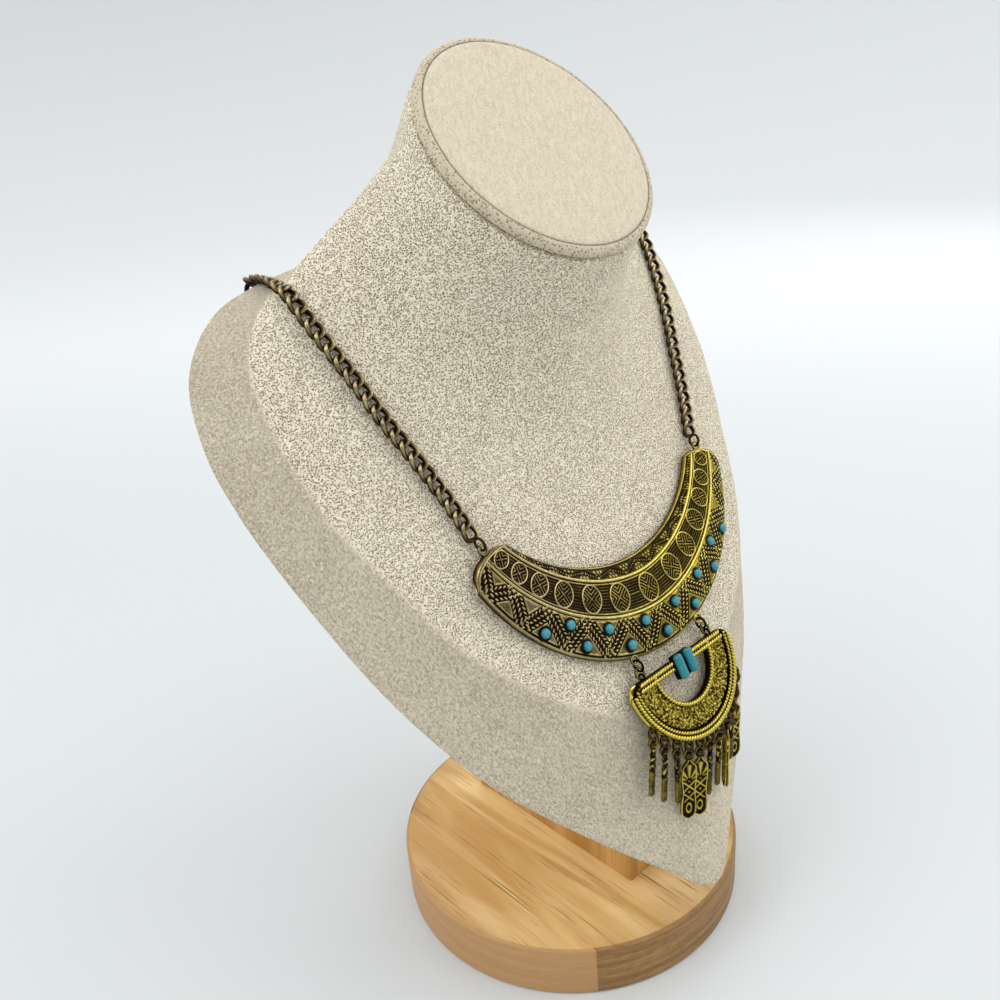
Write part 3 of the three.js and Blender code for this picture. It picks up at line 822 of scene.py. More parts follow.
@dataclass(frozen=True)
class StudioPaper:
    """Pale matt sweep that the stand rests on, with painted light that makes it a little paler far
    behind it.
    """

    colour: Colour = (0.67, 0.69, 0.695)
    far_painted_light: Colour = (0.84, 0.85, 0.85)
    away: float = 42.0  # degrees from straight back to the paler side
    far: tuple[float, float] = (260.0, 1100.0)  # millimetres, from plain to paler

    def make(self) -> bpy.types.Material:
        """The material.

        Returns:
            The material.
        """
        r = Recipe("studio_paper")
        cloud = r.noise(r.place, 3.0, 2.0)
        shade = tuple(0.985 * c for c in self.colour)
        paper = r.mix(cloud, shade, self.colour)
        split = r.node("ShaderNodeSeparateXYZ", {0: r.mapped((1, 1, 1), (0, 0, self.away))})
        # painted light: paler far behind the stand
        paper = r.mix(r.ramp(split.outputs[1], *self.far), paper, self.far_painted_light)
        return r.finish(Base_Color=paper, Roughness=0.7, Specular_IOR_Level=0.2)


# ------------------------------------------------------------------ stand


@dataclass
class Stand:
    """Round wooden base and the upright post behind the bust."""

    radius: float = 65.0
    thickness: float = 20.3
    edge: float = 1.3
    post_width: float = 20.0
    post_front: float = -40.0
    post_back: float = 41.0
    post_top: float = 168.0
    gap: float = 0.3
    joint: float = -41.0
    columns: int = 200

    def build(self) -> None:
        """Builds the base and the post."""
        self._base()
        self._post()

    def _base(self) -> None:
        """The turned disc with its rounded rims."""
        low = [(self.radius - self.edge + self.edge * math.sin(a),
                self.edge - self.edge * math.cos(a)) for a in np.linspace(0, math.pi / 2, 6)]
        high = [(r, self.thickness - z) for r, z in reversed(low)]
        top = [(r, self.thickness) for r in (50.0, 30.0, 10.0)]
        profile = np.array([(10.0, 0.0), (40.0, 0.0)] + low + high + top)
        wear_and_painted_light = np.ones(len(profile))
        wear_and_painted_light[2:13] = 0.0  # the rim from the foot up
        wear_and_painted_light[13] = 0.55
        skin = Skin()
        skin.grid(turned(profile, self.columns), np.repeat(wear_and_painted_light, self.columns), (False, True),
                  caps=True)
        wood = HoneyWood("stand_wood_base", joint=self.joint).make()
        settle(skin.build("turned_base", 50), wood, Slot.WOOD, "stand_base")

    def _post(self) -> None:
        """The post: its outline from the side, rounded along its edges."""
        slope = math.tan(math.radians(BOARD.lean))
        clear = (2.0 - self.gap) / math.cos(math.radians(BOARD.lean))
        foot_y, foot_z = BOARD.foot[1:]
        floor = self.thickness + 0.02
        outline = np.array([
            (self.post_front, floor),
            (self.post_back, floor),
            (self.post_back, self.post_top),
            (foot_y + (self.post_top - foot_z - clear) / slope, self.post_top),
            (self.post_front, foot_z + clear + (self.post_front - foot_y) * slope),
        ])
        half = self.post_width / 2
        skin = Skin()
        rows = [(0.9, half), (0.45, half - 0.12), (0.12, half - 0.45), (0.0, half - 0.9)]
        rows += [(inset, -side) for inset, side in reversed(rows)]
        rings = []
        for inset, side in rows:
            ring = self._inset(outline, inset)
            rings.append(np.stack([np.full(len(ring), side), ring[:, 0], ring[:, 1]], -1))
        skin.grid(np.array(rings), 1.0, (False, True), caps=True)
        wood = HoneyWood("stand_wood_post", light=tint(216, 172, 104), deep=tint(186, 136, 70),
                         grain=(90.0, 0.0, 0.0)).make()
        settle(skin.build("upright_post", 28), wood, Slot.WOOD, "stand_post")

    @staticmethod
    def _inset(outline: Array, inset: float) -> Array:
        """A convex outline moved inwards, with each straight run cut into short steps.

        Args:
            outline: rows of two coordinates, anticlockwise.
            inset: how far.

        Returns:
            The new outline.
        """
        corners = []
        count = len(outline)
        for index in range(count):
            ahead = unit(outline[(index + 1) % count] - outline[index])
            behind = unit(outline[index] - outline[index - 1])
            inward = np.array([-behind[1], behind[0]]), np.array([-ahead[1], ahead[0]])
            reach = inset / (1 + float(inward[0] @ inward[1]))
            corners.append(outline[index] + (inward[0] + inward[1]) * reach)
        steps = np.linspace(0, 1, 12, endpoint=False)[:, None]
        return np.vstack([corners[i] + (corners[(i + 1) % count] - corners[i]) * steps
                          for i in range(count)])


# ------------------------------------------------------------------ bust


@dataclass
class Bust:
    """The linen-covered bust and the oval cap sewn onto its neck."""

    rear: list[tuple[float, float]] = field(default_factory=lambda: [
        (0, 0), (20, 17.5), (46, 46.5), (66, 72.5), (84.2, 107), (98.6, 150), (105, 178),
        (106.2, 197), (101.5, 217), (86, 232.5), (50, 241.5), (0, 249)])
    crease: list[tuple[float, float, float]] = field(default_factory=lambda: [
        (0, 66.2, 26.9), (13, 68, 27), (27, 74.6, 26.9), (49, 91.8, 26), (68.3, 117, 23),
        (79.4, 142, 20.5), (88, 165, 18.6), (91.7, 190, 17.2), (89.6, 213, 16.4),
        (76, 229.5, 16.2), (46, 237.5, 18), (0, 245, 21)])
    rear_height: float = 5.5
    back_height: float = 2.0
    swell: tuple[float, float] = (0.8, 13.0)
    sweep: tuple[float, float] = (5.4, 2.6)
    columns: int = 300
    cap_centre: tuple[float, float, float] = (0.0, -6.5, 274.5)
    cap_tilt: float = 47.9
    cap_radius: float = 39.7
    cap_thickness: float = 4.1
    neck_radius: float = 40.2
    wall: tuple[float, float] = (131.0, 19.0)  # the neck's upright walls: angle and spread
    wall_least: float = 2.5
    wall_drop: float = 18.0
    wall_draw: float = 3.6
    shoulder_swell: float = 6.0
    shoulder_sweep: float = 1.9
    cap_columns: int = 220
    skirt_rings: int = 18
    panel_rings: int = 64
    gap: float = 0.3

    def build(self) -> None:
        """Builds the bust's body and its cap."""
        self._form()
        self._cap()

    def _ring(self, half: Array) -> Array:
        """A closed outline from its right half, as evenly spaced points.

        Args:
            half: rows of side, up and height.

        Returns:
            One point a column.
        """
        left = half[1:-1][::-1] * np.array([-1.0, 1.0, 1.0])
        spline = Spline(np.vstack([half, left]), closed=True)
        return spline.at(np.arange(self.columns) / self.columns)

    def _angles(self) -> Array:
        """The neck's angle for each column, crowded at the front.

        Returns:
            One angle a column, in radians.
        """
        share = 2 * np.arange(self.columns) / self.columns
        share = np.where(share > 1, share - 2, share)
        return np.sign(share) * math.pi * np.abs(share) ** 1.7

    def _wall_share(self) -> Array:
        """How far each column takes part in the neck's walls over the shoulders."""
        turn = np.abs(np.degrees(self._angles())) - self.wall[0]
        return np.exp(-(turn / self.wall[1]) ** 2)

    def _neck(self, share: float, inset: float = 0.0) -> Array:
        """A ring of the neck in the board frame.

        Args:
            share: 0 at the cap's seam to 1 at the foot of the walls.
            inset: how far the ring is drawn in.

        Returns:
            One point a column.
        """
        tilt, angle = math.radians(self.cap_tilt), self._angles()
        normal = np.array([0, -math.sin(tilt), math.cos(tilt)])
        down = np.array([0, -math.cos(tilt), -math.sin(tilt)])
        wall = self._wall_share() * share
        radius = self.neck_radius - self.wall_draw * wall - inset
        sunk = self.cap_thickness + self.gap + self.wall_least * share + self.wall_drop * wall
        world = (np.array(self.cap_centre) - normal * sunk[:, None] + radius[:, None]
                 * (np.cos(angle)[:, None] * down + np.sin(angle)[:, None] * BOARD.axes[0]))
        return BOARD.to_board(world)

    def _form(self) -> None:
        """The body: flat back, rim, skirt, crease, panel and neck."""
        rear = self._ring(np.array([(s, u, self.rear_height) for s, u in self.rear], float))
        crease = self._ring(np.array(self.crease, float))
        neck, angle, shoulder = self._neck(1.0), self._angles(), self._wall_share()
        nape = ((1 - np.cos(angle)) / 2) ** 8
        power = self.sweep[0] + (self.sweep[1] - self.sweep[0]) * nape
        power = power + (self.shoulder_sweep - power) * shoulder
        swell = (self.swell[0] + self.shoulder_swell * shoulder
                 + self.swell[1] * np.abs(np.sin(angle)) ** 1.3)
        rise = neck[:, 2] - crease[:, 2] - swell

        def panel(share: float) -> Array:
            """One ring of the panel, from 1 at the crease to 0 at the neck.

            Args:
                share: place from the neck to the crease.

            Returns:
                One point a column.
            """
            ring = neck + (crease - neck) * share
            ring[:, 2] = crease[:, 2] + swell * (1 - share ** 2) + rise * (1 - share) ** power
            return ring

        def skirt(share: float) -> Array:
            """One ring of the skirt, from 0 at the rim to 1 at the crease.

            Args:
                share: place from the rim to the crease.

            Returns:
                One point a column.
            """
            ring = rear + (crease - rear) * share
            ring[:, 2] -= 0.2 * math.sin(math.pi * share) ** 2
            return ring

        def inset(distance: float, height: float) -> Array:
            """The rim's outline moved in towards the middle.

            Args:
                distance: how far in.
                height: its height off the board.

            Returns:
                One point a column.
            """
            ring = rear + unit(np.array([0.0, 150.0, rear[0, 2]]) - rear) * distance
            ring[:, 2] = height
            return ring

        def bend(before: Array, corner: Array, after: Array, steps: int) -> list[Array]:
            """Rings that round a corner.

            Args:
                before: the ring before the corner.
                corner: the ring at it.
                after: the ring after it.
                steps: how many rings.

            Returns:
                The rings.
            """
            shares = np.linspace(0, 1, steps)
            return [(1 - t) ** 2 * before + 2 * t * (1 - t) * corner + t * t * after
                    for t in shares]

        rings = [inset(distance, self.back_height) for distance in (70, 40, 15, 3.6)]
        rings += bend(inset(3.2, self.back_height), inset(0.75, 2.9), inset(0.2, 4.5), 4)
        rings += bend(inset(0.1, 4.9), rear, skirt(0.03), 4)
        rings += [skirt(share) for share in np.linspace(0.07, 0.93, self.skirt_rings)]
        edge = len(rings) + 3  # the middle ring of the crease's bend
        rings += bend(skirt(0.955), crease, panel(0.975), 7)
        steps = np.linspace(0, 1, self.panel_rings)
        rings += [panel(share) for share in 0.96 * (1 - steps) ** 1.25 + 0.004]
        rings += [self._neck(share, inset) for share, inset in (
            (1, 0), (0.9, 0), (0.8, 0), (0.7, 0), (0.6, 0), (0.5, 0), (0.4, 0.02), (0.3, 0.08),
            (0.2, 0.25), (0.1, 0.6), (0.04, 1.1), (0.0, 1.9), (0.0, 3.4))]
        wear_and_painted_light = smooth_step(edge - 2.0, edge + 3.0, np.arange(len(rings), dtype=float))
        world = BOARD.to_world(np.array(rings))
        cloth = grain(world, 9.0, 3.1) * 0.22 + grain(world, 2.6, 8.7) * 0.05
        cloth[:8] *= 0.2  # flatter on the back
        cloth[-4:] = 0  # and even at the seam under the cap
        world = world + self._normals(world) * cloth[..., None]
        skin = Skin()
        skin.grid(world, np.repeat(wear_and_painted_light, self.columns), (False, True), caps=True)
        settle(skin.build("linen_bust"), Linen().make(), Slot.LINEN, "bust_form")

    @staticmethod
    def _normals(grid: Array) -> Array:
        """Outward unit normals of a closed stack of rings.

        Args:
            grid: the rings, from the back to the neck.

        Returns:
            One normal a point.
        """
        along = np.roll(grid, -1, 1) - np.roll(grid, 1, 1)
        up = np.gradient(grid, axis=0)
        return unit(np.cross(along, up))

    def _cap(self) -> None:
        """The padded oval disc with its seam and edge band."""
        radius, deep = self.cap_radius, self.cap_thickness
        profile = np.array([
            (0.05, 0.25), (4, 0.25), (8, 0.24), (14, 0.21), (20, 0.17), (25, 0.11),
            (29, 0.06), (32, 0.0), (34, -0.04), (35.4, -0.12),
            (radius - 3.1, -0.26), (radius - 2.75, -0.42),
            (radius - 2.5, -0.72), (radius - 2.3, -0.76), (radius - 2.05, -0.56),
            (radius - 1.6, -0.5), (radius - 1.1, -0.66), (radius - 0.6, -0.98),
            (radius - 0.28, -1.35), (radius - 0.08, -1.8), (radius, -2.2), (radius, -2.7),
            (radius - 0.1, -3.1), (radius - 0.4, -3.5), (radius - 1.0, -3.85),
            (radius - 2.0, -deep), (radius - 4, -deep), (20, -deep)])
        face = smooth_step(radius - 2.1, radius - 2.7, profile[:, 0])
        flat = turned(profile, self.cap_columns)
        flat[..., 2] += grain(flat * np.array([1, 1, 0.2]), 7.0, 5.0) * 0.12
        world = Board(self.cap_tilt, self.cap_centre).to_world(flat)
        skin = Skin()
        skin.grid(world, np.repeat(face, self.cap_columns), (False, True), flip=True, caps=True)
        settle(skin.build("sewn_cap"), Suede().make(), Slot.SUEDE, "neck_cap")


# ------------------------------------------------------------------ collar


@dataclass
class Collar:
    """The cast crescent with its relief, its lugs and its thirteen stones."""

    inner: tuple[float, float] = (172.1, 54.3)  # centre up the board, radius
    outer: tuple[float, float] = (148.5, 61.5)
    ends: tuple[float, float, float] = (53.5, 34.0, -13.0)
    bend: float = 1.2
    section: list[tuple[float, float]] = field(default_factory=lambda: [
        (0, 30.2), (0.06, 31.0), (0.15, 31.6), (0.37, 32.2), (0.52, 32.2), (0.6, 32.2),
        (0.8, 31.8), (0.94, 31.1), (1, 30.5)])
    under: float = 29.0
    columns: int = 700
    rows: int = 124
    centre: float = 165.0  # up the board: where the relief's angles are taken from
    medallions: tuple[float, ...] = (0.0, 12.9, 24.1, 34.7, 43.7, 51.4, 58.5)
    peaks: tuple[float, ...] = (6.5, 19.5, 32.0, 45.0, 57.0)
    valleys: tuple[float, ...] = (0.0, 12.9, 26.6, 39.0, 51.0, 63.0)
    stones: list[tuple[float, float, float]] = field(default_factory=lambda: [
        (0, 91.2, 32.4), (16.4, 93.5, 32.3), (32.3, 100.5, 32), (44.4, 110.2, 31.8),
        (7.6, 97.9, 32.8), (22.5, 101.6, 32.6), (35.2, 108.7, 32.3)])
    stone_radius: float = 1.65
    stone_rise: float = 1.3
    rope: tuple[float, float, float] = (1.62, 0.6, 1.4)  # spacing, half width, twist pitch
    field_gap: float = 2.25  # from a zigzag's middle line to the raised fields
    line_pitch: float = 0.92  # lines between the medallions
    maze_pitch: float = 0.98  # lines inside them
    # each rib: which one, shift from it, half width, rise
    ribs: tuple[tuple[int, float, float, float], ...] = (
        (0, 0.0, 0.62, 0.95), (0, -1.05, 0.38, 0.55), (1, 0.0, 0.66, 1.0), (1, 1.1, 0.42, 0.6),
        (1, -0.95, 0.34, 0.45))
    lugs: list[tuple[float, float, float]] = field(default_factory=lambda: [
        (51.3, 139.9, 29.0), (16.3, 88.5, 30.4)])

    def build(self) -> None:
        """Builds the plate, its lugs and its stones."""
        brass = AntiqueBrass("antique_brass_collar", paler=True).make()
        settle(self._plate(), brass, Slot.BRASS, "collar_plate")
        settle(self._loops(), brass, Slot.BRASS)
        names = [f"cabochon_lower_{n}" for n in range(1, 8)]
        names += [f"cabochon_upper_{n}" for n in range(1, 7)]
        settle(self._stones(), Turquoise().make(), Slot.TURQUOISE, *names)

    def _plan(self, along: Array, across: Array) -> tuple[Array, Array]:
        """Side and up of plan points.

        Args:
            along: -1 to 1 between the plate's ends.
            across: 0 at its inner edge to 1 at its outer one.

        Returns:
            Side and up, in millimetres.
        """
        centre = self.inner[0] + (self.outer[0] - self.inner[0]) * across
        radius = self.inner[1] + (self.outer[1] - self.inner[1]) * across
        end = self.ends[0] + self.ends[1] * across + self.ends[2] * across ** 2
        corner = np.abs(2 * across - 1) ** 7
        turn = np.radians(end) * along * (1 - 0.035 * corner * np.abs(along) ** 6)
        return radius * np.sin(turn), centre - radius * np.cos(turn)

    def _angle(self, side: Array, up: Array) -> Array:
        """Angle from the middle, in degrees."""
        return np.degrees(np.arctan2(side, self.centre - up))

    def _spot(self, angle: float, across: float) -> Array:
        """The plan point at an angle and a place across.

        Args:
            angle: in degrees from the middle.
            across: 0 to 1.

        Returns:
            Side and up.
        """
        along = np.linspace(-1.3, 1.3, 1600)
        side, up = self._plan(along, np.full_like(along, across))
        share = np.interp(angle, self._angle(side, up), along)
        spot = self._plan(np.array(share), np.array(across))
        return np.array([float(spot[0]), float(spot[1])])

    def _ribs(self, angle: Array) -> tuple[Array, Array]:
        """Places across of the two ribs that bound the medallions."""
        share = np.clip(np.abs(angle) / 64, 0, 1)
        return 0.18 - 0.08 * share ** 1.3, 0.56 - 0.03 * share

    @staticmethod
    def _leg(side: Array, up: Array, start: Array, end: Array) -> tuple[Array, Array]:
        """Distance from a straight leg, and how far along it.

        Args:
            side: grid of plan points.
            up: the same.
            start: the leg's first point.
            end: its last point.

        Returns:
            Signed distance beside it and distance along it, past its ends made large.
        """
        ahead = unit(end - start)
        length = float(np.linalg.norm(end - start))
        along = (side - start[0]) * ahead[0] + (up - start[1]) * ahead[1]
        beside = (side - start[0]) * -ahead[1] + (up - start[1]) * ahead[0]
        past = np.maximum(np.maximum(-along, along - length), 0)
        return np.where(past > 0, np.hypot(beside, past) * np.sign(beside + 1e-9), beside), along

    def _outer_band(self, side: Array, up: Array, top: Array, bottom: Array
                    ) -> tuple[Array, Array]:
        """Relief of the stone-set band.

        Args:
            side: grid of plan points.
            up: the same.
            top: distance from the second rib.
            bottom: distance from the outer lip.

        Returns:
            Height and wear.
        """
        stops = []
        for index, valley in enumerate(self.valleys):
            stops.append((valley, 0.595))
            if index < len(self.peaks):
                stops.append((self.peaks[index], 0.945))
        stops = [(-a, v) for a, v in stops[:0:-1]] + stops
        spots = [self._spot(angle, across) for angle, across in stops]
        rope = np.zeros_like(side)
        nearest = np.full_like(side, 99.0)
        spacing, half, pitch = self.rope
        for start, end in zip(spots, spots[1:]):
            beside, along = self._leg(side, up, start, end)
            nearest = np.minimum(nearest, np.abs(beside))
            for offset, sign in ((-spacing, 1), (0.0, 1), (spacing, -1)):
                gap = beside - offset
                bead = 0.66 + 0.34 * np.cos(2 * math.pi * (along / pitch + sign * gap / 1.5))
                rope = np.maximum(rope, round_wire(gap, half) * bead)
        field_edge = np.minimum(np.minimum(nearest - self.field_gap, top - 0.5), bottom - 0.35)
        plateau = smooth_step(0.0, 0.3, field_edge)
        rim = round_wire(field_edge - 0.32, 0.3)
        height = -0.5 + 0.75 * rope + 0.62 * plateau + 0.25 * rim
        wear_and_painted_light = 0.98 * rope ** 2 + 0.48 * plateau + 0.16 * rim
        return height, wear_and_painted_light

    def _medallion_band(self, side: Array, up: Array, first: Array, second: Array
                        ) -> tuple[Array, Array]:
        """Relief between the two ribs.

        Args:
            side: grid of plan points.
            up: the same.
            first: distance from the inner rib.
            second: distance from the outer rib.

        Returns:
            Height and wear.
        """
        lines = waves(np.minimum(first, second), self.line_pitch)
        height = -0.36 + 0.4 * lines
        wear_and_painted_light = 0.02 + 0.44 * lines ** 1.5
        for place in sorted({sign * m for m in self.medallions for sign in (-1, 1)}):
            low, high = self._ribs(np.array(place))
            inner = self._spot(place, float(low))
            outer = self._spot(place, float(high))
            centre = (inner + outer) / 2
            reach = float(np.linalg.norm(outer - inner)) / 2 - 1.2
            radial = unit(outer - inner)
            out = (side - centre[0]) * radial[0] + (up - centre[1]) * radial[1]
            beside = (side - centre[0]) * -radial[1] + (up - centre[1]) * radial[0]
            spread = np.hypot(out, beside * 1.2)
            maze = np.abs(np.abs(out) - np.abs(beside)) / math.sqrt(2)
            cross = waves(maze, self.maze_pitch)
            inside = smooth_step(reach - 0.2, reach - 0.5, spread)
            ring = round_wire(spread - reach, 0.36)
            cleared = smooth_step(reach + 0.75, reach + 0.4, spread)
            height = fade(height, -0.44 + inside * 0.5 * cross, cleared)
            wear_and_painted_light = fade(wear_and_painted_light, 0.03 + inside * 0.52 * cross ** 1.5, cleared)
            height = np.maximum(height, -0.3 + 0.68 * ring)
            wear_and_painted_light = np.maximum(wear_and_painted_light, 0.72 * ring)
        return height, wear_and_painted_light

    def _inner_band(self, side: Array, up: Array, inner: Array, rib: Array
                    ) -> tuple[Array, Array]:
        """Relief between the inner lip and the first rib.

        Args:
            side: grid of plan points.
            up: the same.
            inner: distance from the inner lip.
            rib: distance from the first rib.

        Returns:
            Height and wear.
        """
        rope = np.zeros_like(side)
        nearest = np.full_like(side, 99.0)
        balls = np.zeros_like(side)
        angles = np.arange(-9, 10) * 6.5
        spots = []
        for index, angle in enumerate(angles):
            first, _ = self._ribs(np.array(angle))
            spots.append(self._spot(float(angle), 0.065 if index % 2 else float(first) - 0.03))
        for start, end in zip(spots, spots[1:]):
            beside, along = self._leg(side, up, start, end)
            nearest = np.minimum(nearest, np.abs(beside))
            bead = 0.2 + 0.8 * waves(along / 0.95 + beside / 1.5, 1.0)
            rope = np.maximum(rope, round_wire(beside, 0.48) * bead)
        for index, angle in enumerate(angles):
            first, _ = self._ribs(np.array(angle))
            if index % 2:
                rows = [(float(first) - 0.035, (-1.3, 0.0, 1.3)),
                        (float(first) - 0.075, (-0.7, 0.7))]
            else:
                rows = [(0.065, (-1.5, 0.0, 1.5)), (0.1, (-0.8, 0.8)), (0.13, (0.0,))]
            for across, shifts in rows:
                for shift in shifts:
                    spot = self._spot(float(angle) + shift * 1.05, across)
                    far = np.hypot(side - spot[0], up - spot[1])
                    balls = np.maximum(balls, round_wire(far, 0.55))
        edge = np.minimum(np.minimum(nearest - 0.6, rib - 0.35), inner - 0.2)
        plateau = smooth_step(0.0, 0.22, edge)
        height = -0.42 + 0.6 * rope + 0.55 * plateau + 0.3 * balls
        wear_and_painted_light = 0.02 + 0.62 * rope ** 2 + 0.3 * plateau + 0.3 * balls
        return height, wear_and_painted_light

    def _plate(self) -> bpy.types.Object:
        """The plate: top relief, edges and plain underside as one closed skin.

        Returns:
            The piece.
        """
        along = np.linspace(-1, 1, self.columns)[None]
        lip = np.array([0.0, 0.002, 0.006, 0.012, 0.02])
        across = np.concatenate([lip, np.linspace(0.028, 0.972, self.rows - 10), 1 - lip[::-1]])
        along, across = np.broadcast_arrays(along, across[:, None])
        side, up = self._plan(along, across)
        angle = self._angle(side, up)
        inner, outer = (np.stack(self._plan(along[:1], np.full_like(along[:1], v)), -1)
                        for v in (0.0, 1.0))
        width = np.linalg.norm(outer - inner, axis=-1)
        rib_one, rib_two = self._ribs(angle)
        from_one, from_two = (across - rib_one) * width, (across - rib_two) * width
        from_in, from_out = across * width - 0.75, (1 - across) * width - 0.9
        height = np.zeros_like(side)
        wear_and_painted_light = np.full_like(side, 0.8)
        bands = [
            (from_one < 0, *self._inner_band(side, up, from_in, -from_one)),
            ((from_one >= 0) & (from_two < 0),
             *self._medallion_band(side, up, from_one - 1.1, -from_two - 1.1)),
            (from_two >= 0, *self._outer_band(side, up, from_two - 0.5, from_out)),
        ]
        for where, band_height, band_wear in bands:
            height = np.where(where, band_height, height)
            wear_and_painted_light = np.where(where, band_wear, wear_and_painted_light)
        for which, shift, half, rise in self.ribs:
            wire = round_wire((from_one, from_two)[which] + shift, half)
            height = np.maximum(height, -0.35 + rise * wire)
            wear_and_painted_light = np.maximum(wear_and_painted_light, (0.78 if rise > 0.9 else 0.62) * wire ** 1.6)
        for distance in (from_in, from_out):
            lip_share = smooth_step(0.1, -0.15, distance)
            height = fade(height, 0.12, lip_share)
            wear_and_painted_light = fade(wear_and_painted_light, 0.62, lip_share)
        for stone_side, stone_up, _ in self.stones:
            for sign in (-1, 1):
                far = np.hypot(side - sign * stone_side, up - stone_up)
                well = smooth_step(1.95, 1.75, far)
                bezel = round_wire(far - 1.95, 0.3)
                height = fade(height, -0.1, well)
                wear_and_painted_light = wear_and_painted_light * (1 - smooth_step(2.5, 2.0, far) * 0.95)
                height = np.maximum(height, bezel * 0.5)
                wear_and_painted_light = np.maximum(wear_and_painted_light, bezel * 0.3)
        end = (1 - np.abs(along)) * 68  # millimetres from the nearer end
        ribs = waves(end, 1.1)
        strip = smooth_step(1.6, 1.3, end) * smooth_step(0.2, 0.5, end)
        height = fade(height, -0.3 + 0.5 * ribs, strip)
        wear_and_painted_light = fade(wear_and_painted_light, 0.2 + 0.6 * ribs, strip)
        tip = smooth_step(0.9, 0.3, end)
        height = fade(height, 0.0, tip)
        wear_and_painted_light = fade(wear_and_painted_light, 0.7, tip)
        places, tops = zip(*self.section)
        edge = np.minimum(np.minimum(across, 1 - across) * width, end * 1.2)
        base = np.interp(across, places, tops)
        falls = rounding(edge, 0.8)
        wear_and_painted_light = wear_and_painted_light * (1 - 0.6 * falls)
        bent = self._bent(side)
        level = base + height - (base + height - self.under - 0.5) * falls - bent
        rough = np.stack([side, up, np.zeros_like(side)], -1)
        level = level + grain(rough, 1.6) * 0.045
        top = np.stack([side, up, level], -1)
        low = np.stack([side, up, self.under - bent], -1)[::-1][:: self.rows // 8]
        skin = Skin()
        skin.grid(BOARD.to_world(np.concatenate([top, low])),
                  np.concatenate([wear_and_painted_light, np.full(low.shape[:2], 0.35)]), (True, False))
        skin.end_walls(top, low)
        return skin.build("crescent_plate")

    def _bent(self, side: Array | float) -> Array | float:
        """How far the plate has curved back, to each side of its middle."""
        return self.bend * (side / 55) ** 2

    def _loops(self) -> bpy.types.Object:
        """The four lugs as flattened loops.

        Returns:
            The piece.
        """
        skin = Skin()
        ring = flat_ring(1.45, 32)
        shine = wire_shine(0.35, 0.25, 10, 32)
        for side, up, height in self.lugs:
            for sign in (-1, 1):
                spot = np.array([sign * side, up, height])
                skin.tube(BOARD.to_world(spot + ring), 0.45, 10, True, wear_and_painted_light=shine)
                if up > 120:  # the two at the plate's ends have a stem
                    stem = spot - np.array([[0.0, 1.5, 0.0], [0.0, 5.0, 0.0]])
                    skin.tube(BOARD.to_world(stem), 0.75, 10, wear_and_painted_light=0.4)
        return skin.build("collar_loops")

    def _stones(self) -> bpy.types.Object:
        """The thirteen domed stones.

        Returns:
            The piece.
        """
        skin = Skin()
        lift = np.linspace(math.pi / 2, 0, 9)
        radius = np.append(self.stone_radius * np.cos(lift), self.stone_radius * 0.98)
        radius[0] = 0.04
        high = np.append(self.stone_rise * np.sin(lift), -0.5)
        dome = turned(np.stack([radius, high], -1), 28)
        # painted shade: 1 at each stone's crown down to 0 at its rim
        wear_and_painted_light = np.repeat(np.clip(high / self.stone_rise, 0, 1), 28)
        for side, up, seat in self.stones:
            for sign in (-1, 1) if side else (1,):
                spot = np.array([sign * side, up, seat + 0.15 - self._bent(side)])
                skin.grid(BOARD.to_world(dome + spot), wear_and_painted_light, (False, True), flip=True, caps=True)
        return skin.build("collar_stones")


# ------------------------------------------------------------------ pendant


